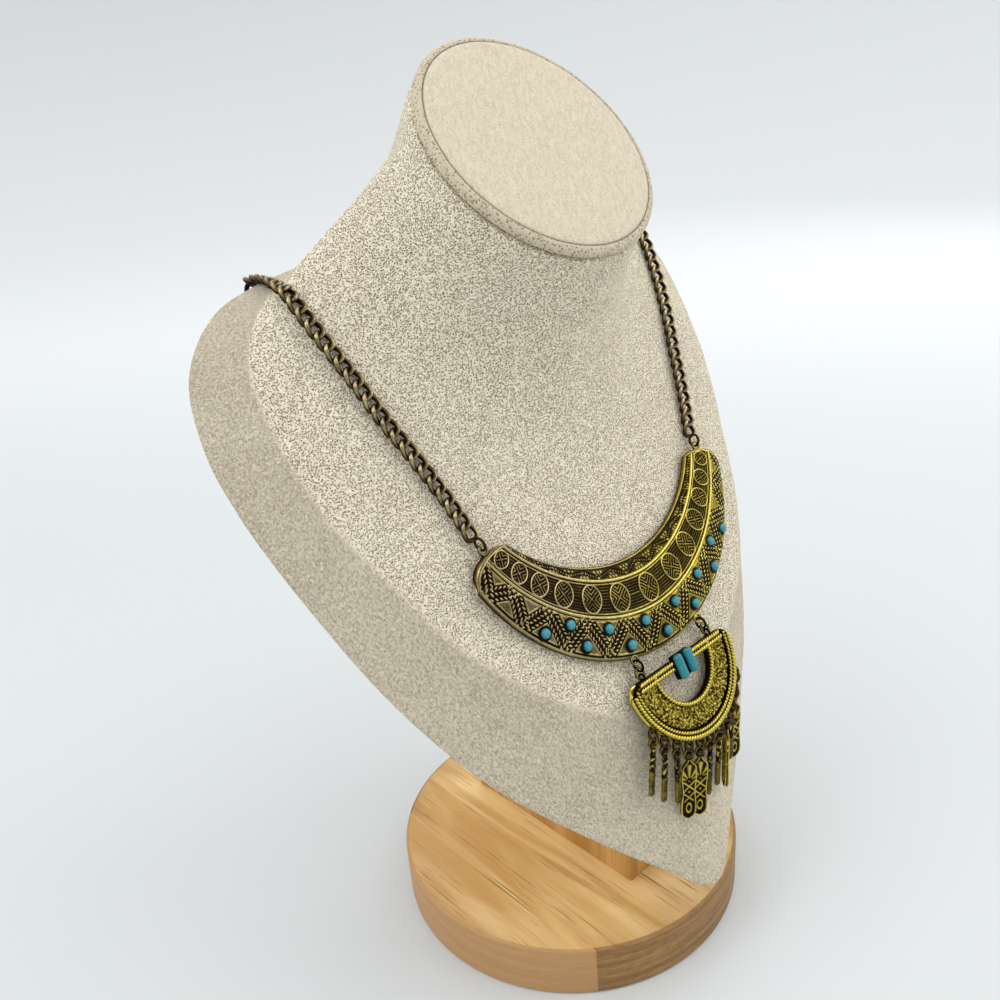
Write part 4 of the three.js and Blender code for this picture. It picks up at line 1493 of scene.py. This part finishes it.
@dataclass
class Pendant:
    """The half moon with its roped edges, its tube stones and its hanger rings."""

    centre: float = 80.3
    outer: float = 25.0
    inner: float = 12.8
    horn: float = 82.2
    under: float = 30.2
    top: float = 32.2
    setting: tuple[float, float] = (8.8, 7.8)
    tube: tuple[float, float, float, float, float] = (2.45, 79.6, 7.8, 1.75, 33.6)
    lug: tuple[float, float, float] = (17.0, 82.9, 31.1)
    hanger: tuple[float, float, float] = (16.3, 86.6, 30.9)
    hanger_low: tuple[float, float, float] = (17.0, 84.4, 30.9)
    places: tuple[int, ...] = (-5, -4, -3, -2, -1, 0, 1, 2, 3, 4, 5)
    step: float = 11.5
    lug_radius: float = 26.0
    lug_height: float = 31.0
    ropes: tuple[tuple[float, float], ...] = ((13.55, 0.84), (24.05, 0.9), (22.45, 0.66))
    rope_pitch: float = 2.3
    columns: int = 340
    rows: int = 64

    def build(self) -> None:
        """Builds the plate, its ropes, setting, stones and rings."""
        brass = AntiqueBrass("antique_brass_pendant", bright=tint(226, 206, 92),
                             grit=0.16).make()
        dark = AntiqueBrass("antique_brass_rings", bright=tint(190, 168, 84),
                            body=tint(96, 76, 36), worn=-0.12).make()
        settle(self._moon(), brass, Slot.BRASS, "pendant_plate")
        settle(self._ropes(), brass, Slot.BRASS)
        settle(self._setting(), dark, Slot.BRASS)
        settle(self._loops(), dark, Slot.BRASS)
        settle(self._tubes(), Turquoise(light=tint(40, 134, 146), deep=tint(6, 60, 72)).make(),
               Slot.TURQUOISE, "tube_stone_left", "tube_stone_right")
        settle(self._hangers(), dark, Slot.BRASS, "hanger_ring_top_left",
               "hanger_ring_low_left", "hanger_ring_top_right", "hanger_ring_low_right")

    def spot(self, angle: Array, radius: Array | float, height: Array | float) -> Array:
        """Board-frame points from an angle off straight down, a radius and a height."""
        return np.stack(np.broadcast_arrays(radius * np.sin(angle),
                                            self.centre - radius * np.cos(angle), height), -1)

    def _reach(self, radius: Array) -> Array:
        """How far round the plate runs at a radius, with the outer corners rounded.

        Args:
            radius: distances from the centre.

        Returns:
            Angles off straight down, in radians.
        """
        corner = np.clip((radius - self.outer + 5.0) / 5.0, 0, 1)
        drop = 4.2 * (1 - np.sqrt(np.clip(1 - corner ** 2, 0, 1)))
        return np.arccos(np.clip((self.centre - self.horn + drop) / radius, -1, 1))

    def _moon(self) -> bpy.types.Object:
        """The plate: a crinkled field inside a smooth rim.

        Returns:
            The piece.
        """
        radius = np.linspace(self.inner, self.outer, self.rows)[:, None]
        share = np.linspace(-1, 1, self.columns)[None]
        angle = self._reach(radius) * share
        radius = np.broadcast_to(radius, angle.shape)
        flat = self.spot(angle, radius, np.zeros_like(angle))
        edge = np.minimum(np.minimum(radius - self.inner, self.outer - radius),
                          self.horn - flat[..., 1] + 0.02)
        nugget = 0.7 - 1.6 * np.abs(grain(flat, 1.3, 2.0)) + 0.7 * grain(flat, 0.62, 7.0)
        nugget = np.clip(nugget, 0, 1)
        inset = smooth_step(0.6, 1.6, np.minimum(edge, self.outer - radius - 2.6))
        height = 0.75 * nugget * inset
        wear_and_painted_light = 0.3 + 0.5 * nugget ** 1.2
        rim = round_wire(self.outer - radius - 0.12, 0.34)
        height = np.maximum(height - 0.25 * (1 - inset), 0.5 * rim)
        wear_and_painted_light = np.maximum(wear_and_painted_light * inset, 0.72 * rim)
        falls = rounding(edge, 0.7)
        level = self.top + height - 0.35
        level = level - (level - self.under - 0.6) * falls
        top = flat + np.stack([np.zeros_like(level), np.zeros_like(level), level], -1)
        low = top[::-1][::9].copy()
        low[..., 2] = self.under
        skin = Skin()
        skin.grid(BOARD.to_world(np.concatenate([top, low])),
                  np.concatenate([wear_and_painted_light, np.full(low.shape[:2], 0.4)]), (True, False))
        skin.end_walls(top, low)
        return skin.build("half_moon")

    @staticmethod
    def rope(skin: Skin, path: Array, radius: float, pitch: float) -> None:
        """Adds a rope of two twisted strands.

        Args:
            skin: where it goes.
            path: rows of board-frame points, evenly spaced.
            radius: of the whole rope.
            pitch: length of one full twist.
        """
        spline = Spline(path)
        count = max(int(spline.length / pitch * 10), 8)
        shares = np.linspace(0, 1, count)
        centre, ahead = spline.at(shares), spline.along(shares)
        out = np.array([0.0, 0.0, 1.0])
        side = unit(np.cross(ahead, out))
        twist = 2 * math.pi * shares * spline.length / pitch
        for phase in (0.0, math.pi):
            swing = (np.cos(twist + phase)[:, None] * side
                     + np.sin(twist + phase)[:, None] * out) * radius * 0.5
            polish = 0.25 + 0.55 * np.sin(twist + phase)
            skin.tube(BOARD.to_world(centre + swing), radius * 0.56, 7,
                      wear_and_painted_light=np.repeat(polish, 7))

    def _ropes(self) -> bpy.types.Object:
        """Twisted ropes round the opening, along the rim and across the bar.

        Returns:
            The piece.
        """
        skin = Skin()
        for radius, wire in self.ropes:
            reach = float(self._reach(np.array(radius))) - 0.05
            path = self.spot(np.linspace(-reach, reach, 60), radius, self.top + 0.15)
            self.rope(skin, path, wire, self.rope_pitch)
        for sign in (-1, 1):
            for up, start in ((self.horn - 0.8, 20.4), (self.horn - 2.5, 20.9)):
                side = np.linspace(sign * start, sign * 4.4, 20)
                path = np.stack([side, np.full(20, up), np.full(20, self.top + 0.25)], -1)
                self.rope(skin, path, 0.84, self.rope_pitch)
        return skin.build("pendant_ropes")

    def _setting(self) -> bpy.types.Object:
        """The box that holds the two tube stones, with the bar behind it.

        Returns:
            The piece.
        """
        skin = Skin()
        self._block(skin, (0.0, self.tube[1]), self.setting, 31.6, 33.5)
        for sign in (-1, 1):
            self._block(skin, (sign * 9.0, self.horn - 1.65), (10.0, 3.4), 30.9, 31.9)
        return skin.build("stone_setting", 40)

    @staticmethod
    def _block(skin: Skin, centre: tuple[float, float], size: tuple[float, float], low: float,
               high: float) -> None:
        """A rounded rectangular block.

        Args:
            skin: where it goes.
            centre: side and up of its middle.
            size: its width and length.
            low: height of its underside.
            high: height of its top.
        """
        turn = circle(48)
        corner = 0.7
        rings = []
        for height, inset in ((low, 0.15), (low + 0.15, 0.0), (high - 0.3, 0.0),
                              (high - 0.09, 0.09), (high, 0.3)):
            half = np.array(size) / 2 - inset - corner
            ring = np.stack([np.cos(turn), np.sin(turn)], -1)
            ring = np.sign(np.round(ring, 9)) * half + ring * corner
            rings.append(np.column_stack([ring + np.array(centre), np.full(len(turn), height)]))
        skin.grid(BOARD.to_world(np.array(rings)), 0.3, (False, True), caps=True)

    def lug_at(self, place: float) -> Array:
        """Board-frame place of a drop's lug.

        Args:
            place: which lug, 0 for the middle one.

        Returns:
            Side, up and height.
        """
        angle = math.radians(place * self.step)
        return np.array([self.lug_radius * math.sin(angle),
                         self.centre - self.lug_radius * math.cos(angle), self.lug_height])

    def _loops(self) -> bpy.types.Object:
        """The lugs for the drops and for the hanger rings.

        Returns:
            The piece.
        """
        skin = Skin()
        wear_and_painted_light = wire_shine(0.3, 0.35, 8, 24)
        for place in self.places:
            skin.tube(BOARD.to_world(self.lug_at(place) + flat_ring(1.5, 24)), 0.5, 8, True,
                      wear_and_painted_light=wear_and_painted_light)
        across = np.broadcast_to(BOARD.axes[0], (24, 3))
        for sign in (-1, 1):
            spot = np.array(self.lug) * np.array([sign, 1, 1])
            skin.tube(BOARD.to_world(spot + upright_ring(1.12, 24)), 0.4, 8, True,
                      outward=across, wear_and_painted_light=wear_and_painted_light)
        return skin.build("pendant_loops")

    def _tubes(self) -> bpy.types.Object:
        """The two tube stones, rounded at their ends.

        Returns:
            The piece.
        """
        skin = Skin()
        side, up, length, radius, seat = self.tube
        turn = circle(24)
        steps = np.linspace(-1, 1, 25)
        for sign in (-1, 1):
            end = np.clip((1 - np.abs(steps)) * length / 2 / 0.9, 0, 1)
            reach = radius * (0.62 + 0.38 * np.sqrt(1 - (1 - end) ** 2))
            rings = np.stack(np.broadcast_arrays(
                sign * side + (reach[:, None] * 0.98) * np.cos(turn),
                (up + steps * length / 2)[:, None],
                seat + np.where(np.sin(turn) > 0, 1.0, 0.25) * reach[:, None] * np.sin(turn)
            ), -1)
            # painted shade: each tube stone lighter on its upper half, darker on its underside
            wear_and_painted_light = np.broadcast_to(0.5 + 0.5 * np.sin(turn), rings.shape[:2])
            skin.grid(BOARD.to_world(rings), wear_and_painted_light, (False, True), flip=True, caps=True)
        return skin.build("tube_stones")

    def _hangers(self) -> bpy.types.Object:
        """The rings between the collar and the pendant.

        Returns:
            The piece.
        """
        skin = Skin()
        across = np.broadcast_to(BOARD.axes[0], (28, 3))
        shine = wire_shine(0.35, 0.4, 8, 28)
        for sign in (-1, 1):
            spot = np.array(self.hanger) * np.array([sign, 1, 1])
            skin.tube(BOARD.to_world(spot + upright_ring(1.85, 28)), 0.42, 8, True,
                      outward=across, wear_and_painted_light=shine)
            spot = np.array(self.hanger_low) * np.array([sign, 1, 1])
            skin.tube(BOARD.to_world(spot + flat_ring(1.75, 28)), 0.42, 8, True, wear_and_painted_light=shine)
        return skin.build("hanger_rings")


# ------------------------------------------------------------------ drops


@dataclass
class Drops:
    """Eleven castings on jump rings below the pendant."""

    pendant: Pendant
    hung: list[tuple[int, DropShape, float, float]] = field(default_factory=lambda: [
        (-5, DropShape.BAR, -4, 0), (-4, DropShape.BAR, -2, 0), (-3, DropShape.BAR, 1.5, 0),
        (-2, DropShape.PADDLE, -1, -30), (-1, DropShape.PADDLE, -1, -34),
        (0, DropShape.BAR, -2, 0), (1, DropShape.BAR, -2, 0), (2, DropShape.PADDLE, 0, 48),
        (3, DropShape.BAR, 0, 0), (4, DropShape.PADDLE, 1.5, -12), (5, DropShape.BAR, 1, 0)])
    bar: tuple[float, float, float] = (19.0, 2.1, 1.5)  # length, width, thickness
    paddle: tuple[float, float, float] = (24.4, 5.6, 1.4)
    ring_reach: float = 4.4  # from a lug down to a drop's eye
    ring_turn: float = 0.3  # how much of a drop's turn its rings share

    def build(self) -> None:
        """Builds the rings, the bars and the paddles."""
        rings, bars, paddles = Skin(), Skin(), Skin()
        names: dict[str, list[str]] = {"ring": [], "bar": [], "paddle": []}
        for index, (place, shape, swing, turn) in enumerate(self.hung, 1):
            lug = BOARD.to_world(self.pendant.lug_at(place))
            self._pair(rings, lug, turn * self.ring_turn)
            names["ring"].append(f"drop_ring_{index}")
            names[shape.value].append(f"drop_{shape.value}_{index}")
            pose = self._pose(swing, turn)
            spot = lug - np.array([0, 0, self.ring_reach])
            if shape is DropShape.BAR:
                self._bar(bars, pose, spot)
            else:
                self._paddle(paddles, pose, spot)
        dark = AntiqueBrass("antique_brass_jump_rings", bright=tint(186, 162, 84),
                            body=tint(90, 70, 34), worn=-0.12).make()
        plain = AntiqueBrass("antique_brass_bars", bright=tint(196, 180, 76)).make()
        cast = AntiqueBrass("antique_brass_paddles", bright=tint(208, 190, 84)).make()
        settle(rings.build("jump_rings"), dark, Slot.BRASS, *names["ring"])
        settle(bars.build("bar_drops"), plain, Slot.BRASS, *names["bar"])
        settle(paddles.build("paddle_drops"), cast, Slot.BRASS, *names["paddle"])

    @staticmethod
    def _pose(swing: float, turn: float) -> Array:
        """Rows that take a drop's own axes to the row frame.

        Args:
            swing: sideways, in degrees.
            turn: about the upright, in degrees.

        Returns:
            Three by three.
        """
        sway = Matrix.Rotation(math.radians(-swing), 3, "Y")
        spin = Matrix.Rotation(math.radians(turn), 3, "Z")
        return np.array(sway @ spin).T

    def _pair(self, skin: Skin, lug: Array, turn: float) -> None:
        """Two linked jump rings, one under the other.

        Args:
            skin: where they go.
            lug: the lug that they hang from.
            turn: about the upright, in degrees.
        """
        angle = circle(24)
        shine = wire_shine(0.35, 0.4, 8, 24)
        for below, radius, quarter in ((1.5, 1.75, 0.0), (3.25, 1.5, 62.0)):
            spin = math.radians(turn + quarter)
            level = np.array([math.sin(spin), -math.cos(spin), 0.0])
            ring = (np.cos(angle)[:, None] * np.array([0, 0, 1.0])
                    + np.sin(angle)[:, None] * level) * radius
            face = np.cross(level, [0, 0, 1.0])
            skin.tube(lug - np.array([0, 0, below]) + ring, 0.42, 8, True,
                      outward=np.broadcast_to(face, ring.shape), wear_and_painted_light=shine)

    def _bar(self, skin: Skin, pose: Array, spot: Array) -> None:
        """A slim bar, pitted above and plain below.

        Args:
            skin: where it goes.
            pose: its axes.
            spot: where it hangs from.
        """
        length, width, thick = self.bar
        down = np.concatenate([np.linspace(-1.2, -2.2, 5), np.linspace(-2.5, -length + 0.8, 56),
                               -length + 0.784 * (1 - np.cos(np.linspace(0.3, 1.5, 6)))])
        down = np.unique(np.round(down, 4))[::-1]
        turn = circle(18)
        near = np.clip((down + length) / 0.85, 0, 1)
        taper = np.sqrt(np.clip(1 - (1 - near) ** 2, 0.02, 1))
        top = 0.62 + 0.38 * smooth_step(-1.2, -3.2, down)
        half_width = width / 2 * taper * top
        half_thick = thick / 2 * taper * (0.8 + 0.2 * top)
        profile = np.abs(np.cos(turn)) ** 0.7 * np.sign(np.cos(turn))
        depth = np.abs(np.sin(turn)) ** 0.7 * np.sign(np.sin(turn))
        local = np.stack(np.broadcast_arrays(half_width[:, None] * profile,
                                             half_thick[:, None] * depth, down[:, None]), -1)
        pitted = smooth_step(-10.5, -8.5, down)[:, None]
        lump = grain(local + spot, 1.1, 4.0) * 1.4
        local[..., :2] *= (1 + 0.3 * lump * pitted)[..., None]
        crown = 0.5 + 0.5 * np.abs(np.cos(turn)) ** 2
        wear_and_painted_light = 0.2 + 0.28 * crown + 0.08 * lump - pitted * (0.22 - 0.8 * np.clip(lump, 0, 1))
        wear_and_painted_light = np.clip(wear_and_painted_light, 0, 1)
        skin.grid(local @ pose + spot, wear_and_painted_light, (False, True), caps=True)
        self._eye(skin, pose, spot)

    @staticmethod
    def _eye(skin: Skin, pose: Array, spot: Array) -> None:
        """The ring at a drop's top.

        Args:
            skin: where it goes.
            pose: the drop's axes.
            spot: where it hangs from.
        """
        turn = circle(22)
        ring = np.stack([1.15 * np.cos(turn), 0 * turn, 1.15 * np.sin(turn)], -1)
        face = np.broadcast_to(np.array([0, -1.0, 0]) @ pose, ring.shape)
        skin.tube(ring @ pose + spot, 0.5, 8, True, outward=face, wear_and_painted_light=0.3)

    def _paddle(self, skin: Skin, pose: Array, spot: Array) -> None:
        """A flat paddle with a fan, a lattice and a leaf in relief on both faces.

        Args:
            skin: where it goes.
            pose: its axes.
            spot: where it hangs from.
        """
        length, width, thick = self.paddle
        down = np.concatenate([np.linspace(1.2, 3, 10, endpoint=False),
                               np.linspace(3, length - 2.2, 96, endpoint=False),
                               length - 2.2 * (1 - np.sin(np.linspace(0, math.pi / 2 - 0.1, 14)))])
        down = np.sort(down)
        share = np.sin(np.linspace(-math.pi / 2, math.pi / 2, 33))
        tip = np.clip((length - down) / 2.6, 0, 1)
        half = width / 2 * np.sqrt(np.clip(1 - (1 - tip) ** 2, 0.004, 1))
        half = half * (0.32 + 0.68 * smooth_step(1.2, 4.6, down)) * (0.94 + 0.06 * np.cos(
            (down - 7.5) / 6.5 * math.pi))
        side = half[:, None] * share
        far = np.broadcast_to(down[:, None], side.shape)
        edge = half[:, None] - np.abs(side)
        outline = round_wire(edge - 0.36, 0.34)
        fan_angle = np.degrees(np.arctan2(side, 9.2 - far))
        fan_far = np.hypot(side, 9.2 - far)
        fan = waves(fan_angle, 360 / 11) * smooth_step(0.6, 1.2, fan_far)
        fan *= smooth_step(9.4, 8.9, far) * smooth_step(2.6, 3.4, far)
        cell = (far - 9.4) % 4.4 - 2.2
        cross = np.minimum(np.abs(cell - side), np.abs(cell + side)) / math.sqrt(2)
        lattice = round_wire(cross, 0.34) * smooth_step(9.2, 9.6, far)
        lattice = np.maximum(lattice, round_wire(np.hypot(side, np.abs(cell) - 2.2), 0.5)
                             * smooth_step(9.2, 9.6, far))
        leaf = round_wire(np.hypot(side * 1.3, (far - length + 4.2) * 0.62) - 1.1, 0.34)
        low_part = smooth_step(length - 7.0, length - 6.4, far)
        lattice = fade(lattice, leaf, low_part)
        raised = np.maximum(np.maximum(outline, fan), lattice)
        height = thick / 2 - 0.42 + 0.42 * raised
        height = height * np.sqrt(np.clip(edge / 0.35, 0.02, 1))
        front = np.stack([side, -height, -far], -1)
        back = np.stack([side, height, -far], -1)[:, ::-1]
        wear_and_painted_light = 0.22 + 0.54 * raised ** 1.3
        skin.grid(np.concatenate([front, back[:, 1:-1]], 1) @ pose + spot,
                  np.concatenate([wear_and_painted_light, wear_and_painted_light[:, ::-1][:, 1:-1]], 1), (False, True), caps=True)
        self._eye(skin, pose, spot)


# ------------------------------------------------------------------ chain


@dataclass
class Chain:
    """Curb chain from the collar over both shoulders to a clasp at the back."""

    pitch: float = 4.2
    wire: float = 0.74
    half_length: float = 2.76
    half_width: float = 1.98
    twist: float = 0.66
    routes: dict[str, list[tuple[float, float, float]]] = field(default_factory=lambda: {
        "left": [(51.9, 144.4, 27.5), (54.4, 156, 27.5), (60, 174.5, 27.5), (63.6, 185, 27.6),
                 (66.6, 195, 28), (69.8, 206, 27.8), (72.2, 215, 27.2)],
        "right": [(52.4, 144.4, 27.5), (57.2, 156, 27.4), (63.2, 174.5, 27.3),
                  (66.8, 185, 27.3), (69.5, 195, 27.3), (71.6, 206, 27.3), (72.9, 215, 27)]})
    shoulder: list[tuple[float, float, float]] = field(default_factory=lambda: [
        (73.3, 222.2, 25.8), (73.4, 228, 23.4), (72.8, 232.4, 18.6), (71.6, 235.6, 13.2),
        (70.6, 238.1, 8), (70, 239.8, 3.2), (69.9, 240.6, 0.8)])
    back_top: tuple[float, float, float] = (69.9, 51.2, 240.0)
    sag: float = 58.0  # drop of the back stretches to the clasp
    clasp_length: float = 12.0
    clasp_width: float = 5.5
    end_ring: tuple[float, float, float] = (51.6, 141.9, 29.0)

    def build(self) -> None:
        """Builds the four stretches, the end rings and the clasp."""
        brass = AntiqueBrass("chain_brass", bright=tint(232, 216, 168), body=tint(96, 74, 40),
                             patina=tint(34, 22, 12), gloss=0.2, worn=-0.04).make()
        for sign, word in ((-1, "left"), (1, "right")):
            points = np.array(self.routes[word] + self.shoulder, float) * np.array([sign, 1, 1])
            front = Spline(BOARD.to_world(points))
            settle(self._stretch(f"curb_chain_{word}", front, BOARD.axes[2]), brass, Slot.CHAIN,
                   f"chain_{word}")
            back = Spline(self._hanging(sign))
            settle(self._stretch(f"curb_chain_nape_{word}", back, np.array([0, 1.0, 0])), brass,
                   Slot.CHAIN, f"chain_back_{word}")
        settle(self._end_rings(), brass, Slot.CHAIN, "chain_ring_left", "chain_ring_right")
        settle(self._clasp(), brass, Slot.CHAIN, "clasp")

    def _hanging(self, sign: int) -> Array:
        """The catenary of one back stretch.

        Args:
            sign: -1 for the left and 1 for the right.

        Returns:
            Rows of points in the row frame.
        """
        side, back, height = self.back_top
        pull = 60.0
        for _ in range(40):
            pull *= (pull * (math.cosh(side / pull) - 1) / self.sag) ** 0.5
        across = np.linspace(side, self.clasp_length / 2 + 0.3, 11)
        lift = height - self.sag + pull * (np.cosh(across / pull) - 1)
        return np.stack([sign * across, np.full(11, back), lift], -1)

    def _stretch(self, name: str, spline: Spline, outward: Array) -> bpy.types.Object:
        """One stretch of twisted oval links.

        Args:
            name: the piece's name.
            spline: its route.
            outward: direction away from what it lies on.

        Returns:
            The piece.
        """
        count = int(spline.length / self.pitch)
        turn = circle(26)
        loop = np.stack([self.half_length * np.cos(turn), self.half_width * np.sin(turn)
                         * (1 + 0.12 * np.cos(turn) ** 2), self.twist * np.sin(2 * turn)], -1)
        skin = Skin()
        for link in range(count):
            share = (link + 0.5) / count
            ahead = spline.along(np.array([share]))[0]
            out = unit(outward - ahead * float(outward @ ahead))
            axes = np.stack([ahead, np.cross(out, ahead), out])
            centre = spline.at(np.array([share]))[0]
            path = loop @ axes + centre
            around = unit(np.stack([loop[:, 0] * 0.4, loop[:, 1], 0 * turn], -1)) @ axes
            lean = np.linspace(0, 2 * math.pi, 9, endpoint=False)
            shade = np.broadcast_to(0.2 + 0.42 * np.cos(lean), (26, 9)) + 0.1 * np.sin(
                2 * turn)[:, None]
            skin.tube(path, self.wire, 9, True, outward=unit(around * 0.5 + out), wear_and_painted_light=shade)
        return skin.build(name)

    def _end_rings(self) -> bpy.types.Object:
        """The rings between the chain and the collar's lugs.

        Returns:
            The piece.
        """
        skin = Skin()
        across = np.broadcast_to(BOARD.axes[0], (28, 3))
        for sign in (-1, 1):
            ring = upright_ring(2.0, 28)
            ring[:, 0] = 0.175 * sign * ring[:, 1]
            spot = np.array(self.end_ring) * np.array([sign, 1, 1])
            skin.tube(BOARD.to_world(spot + ring), 0.45, 8, True, outward=across, wear_and_painted_light=0.4)
        return skin.build("end_rings")

    def _clasp(self) -> bpy.types.Object:
        """The closed hook clasp, a rounded drop shape.

        Returns:
            The piece.
        """
        _, back, height = self.back_top
        skin = Skin()
        turn = circle(40)
        big, small = self.clasp_width / 2, self.clasp_width * 0.35
        lean = np.cos(turn)
        reach = big + (small - big) * smooth_step(-0.4, 0.4, lean)
        outline = np.stack([lean * reach + np.where(lean < 0, big - self.clasp_length / 2,
                                                    self.clasp_length / 2 - small),
                            np.sin(turn) * reach], -1)
        rings = []
        for depth, inset in ((-1.3, 0.75), (-1.1, 0.35), (-0.7, 0.08), (0.0, 0.0), (0.7, 0.08),
                             (1.1, 0.35), (1.3, 0.75)):
            scaled = outline * (1 - inset / np.array([self.clasp_length / 2, big]))
            rings.append(np.column_stack([scaled[:, 0], np.full(40, depth), scaled[:, 1]]))
        centre = np.array([0.0, back, height - self.sag])
        skin.grid(np.array(rings) + centre, 0.45, (False, True), flip=True, caps=True)
        rim = flat_ring(0.9, 20)[:, [0, 2, 1]]
        backward = np.broadcast_to(np.array([0, 1.0, 0]), rim.shape)
        for side in (-1.2, 1.2):
            skin.tube(rim + centre + np.array([side, 1.35, 0.0]), 0.22, 6, True,
                      outward=backward, wear_and_painted_light=0.6)
        return skin.build("hook_clasp")


# ------------------------------------------------------------------ studio


@dataclass
class Studio:
    """Floor, soft light and the camera."""

    place: tuple[float, float, float] = (-0.21134, -0.21213, 0.29112)
    azimuth: float = -41.71  # degrees, as are the next two
    elevation: float = 23.66
    roll: float = -4.82
    lens: float = 34.47
    aim: tuple[float, float, float] = (0.0, -0.03, 0.14)  # where the lights point
    surround: float = 1.05
    sky: Colour = (0.95, 0.98, 1.0)
    dusk: Colour = (0.14, 0.14, 0.14)  # low in front
    floor_reach: float = 2100.0  # millimetres to where the floor starts to curve up
    floor_bend: float = 1500.0

    def build(self) -> None:
        """Sets up the studio."""
        bpy.context.scene.view_settings.view_transform = "Standard"
        self._camera()
        self._floor()
        self._world()
        self._softbox("key", 38.0, 56.0, 1.5, 0.8, 3.2, (1.0, 0.97, 0.92))
        self._softbox("glint", 49.0, 15.0, 1.4, 0.42, 1.9, (1.0, 0.97, 0.9))
        self._softbox("fill", -105.0, 45.0, 1.6, 1.0, 5.6, (0.98, 0.98, 0.98))
        self._softbox("side", 100.0, 30.0, 1.6, 1.0, 2.9, (1.0, 0.99, 0.97))

    def _camera(self) -> None:
        """The camera at its place, turned by azimuth, elevation and roll."""
        data = bpy.data.cameras.new("camera")
        data.lens = self.lens
        data.sensor_width = 36.0
        data.clip_start = 0.01
        camera = bpy.data.objects.new("camera", data)
        bpy.context.scene.collection.objects.link(camera)
        azimuth, roll = math.radians(self.azimuth), math.radians(self.roll)
        back = self._away(self.azimuth, self.elevation)
        right = Vector((math.cos(azimuth), math.sin(azimuth), 0.0))
        up = back.cross(right)
        level = right * math.cos(roll) + up * math.sin(roll)
        top = up * math.cos(roll) - right * math.sin(roll)
        frame_axes = Matrix((level, top, back)).transposed()
        camera.matrix_world = Matrix.Translation(self.place) @ frame_axes.to_4x4()
        bpy.context.scene.camera = camera

    @staticmethod
    def _away(azimuth: float, elevation: float) -> Vector:
        """Direction from the object.

        Args:
            azimuth: degrees right of straight in front.
            elevation: degrees above level.

        Returns:
            A unit direction.
        """
        turn, rise = math.radians(azimuth), math.radians(elevation)
        return Vector((math.sin(turn) * math.cos(rise), -math.cos(turn) * math.cos(rise),
                       math.sin(rise)))

    def _floor(self) -> None:
        """A wide floor just under the stand, curving up into a low wall all round."""
        flat = [(r, -0.05) for r in (10.0, 300.0, 900.0, 1500.0, self.floor_reach)]
        curve = [(self.floor_reach + self.floor_bend * math.sin(a),
                  self.floor_bend * (1 - math.cos(a)) - 0.05) for a in np.linspace(0.06, 1.25, 20)]
        skin = Skin()
        skin.grid(turned(np.array(flat + curve), 96), 0.5, (False, True), flip=True)
        floor = skin.build("studio_floor")
        floor.data.materials.append(StudioPaper().make())

    def _world(self) -> None:
        """Soft surroundings, dimmer low in front than elsewhere."""
        world = bpy.data.worlds.new("studio")
        world.use_nodes = True
        tree = world.node_tree
        tree.nodes.clear()
        place = tree.nodes.new("ShaderNodeTexCoord")
        split = tree.nodes.new("ShaderNodeSeparateXYZ")
        tree.links.new(place.outputs["Generated"], split.inputs[0])
        shares = []
        for axis, low, high in (("Y", 0.0, -0.6), ("Z", 0.6, 0.25)):
            share = tree.nodes.new("ShaderNodeMapRange")
            share.interpolation_type = "SMOOTHSTEP"
            tree.links.new(split.outputs[axis], share.inputs[0])
            for index, value in ((1, low), (2, high), (3, 0.0), (4, 1.0)):
                share.inputs[index].default_value = value
            shares.append(share.outputs[0])
        dim = tree.nodes.new("ShaderNodeMath")
        dim.operation = "MULTIPLY"
        tree.links.new(shares[0], dim.inputs[0])
        tree.links.new(shares[1], dim.inputs[1])
        glow = tree.nodes.new("ShaderNodeMix")
        glow.data_type = "RGBA"
        tree.links.new(dim.outputs[0], glow.inputs[0])
        glow.inputs[6].default_value = (*self.sky, 1.0)
        glow.inputs[7].default_value = (*self.dusk, 1.0)
        shade = tree.nodes.new("ShaderNodeBackground")
        tree.links.new(glow.outputs[2], shade.inputs["Color"])
        shade.inputs["Strength"].default_value = self.surround
        end = tree.nodes.new("ShaderNodeOutputWorld")
        tree.links.new(shade.outputs[0], end.inputs[0])
        bpy.context.scene.world = world

    def _softbox(self, name: str, azimuth: float, elevation: float, distance: float,
                 size: float, power: float, colour: Colour) -> None:
        """A square area light facing the object.

        Args:
            name: the light's name.
            azimuth: degrees right of straight in front.
            elevation: degrees above level.
            distance: metres from the object.
            size: metres on a side.
            power: watts.
            colour: its colour.
        """
        data = bpy.data.lights.new(name, "AREA")
        data.shape, data.size, data.energy, data.color = "SQUARE", size, power, colour
        light = bpy.data.objects.new(name, data)
        away = self._away(azimuth, elevation)
        light.location = Vector(self.aim) + away * distance
        light.rotation_euler = away.to_track_quat("Z", "Y").to_euler()
        bpy.context.scene.collection.objects.link(light)


def main() -> None:
    """Builds every sub-assembly in order."""
    Studio().build()
    Stand().build()
    Bust().build()
    Collar().build()
    pendant = Pendant()
    pendant.build()
    Drops(pendant).build()
    Chain().build()


if __name__ == "__main__":
    logging.basicConfig(level=logging.INFO, format="%(name)s: %(message)s")
    main()
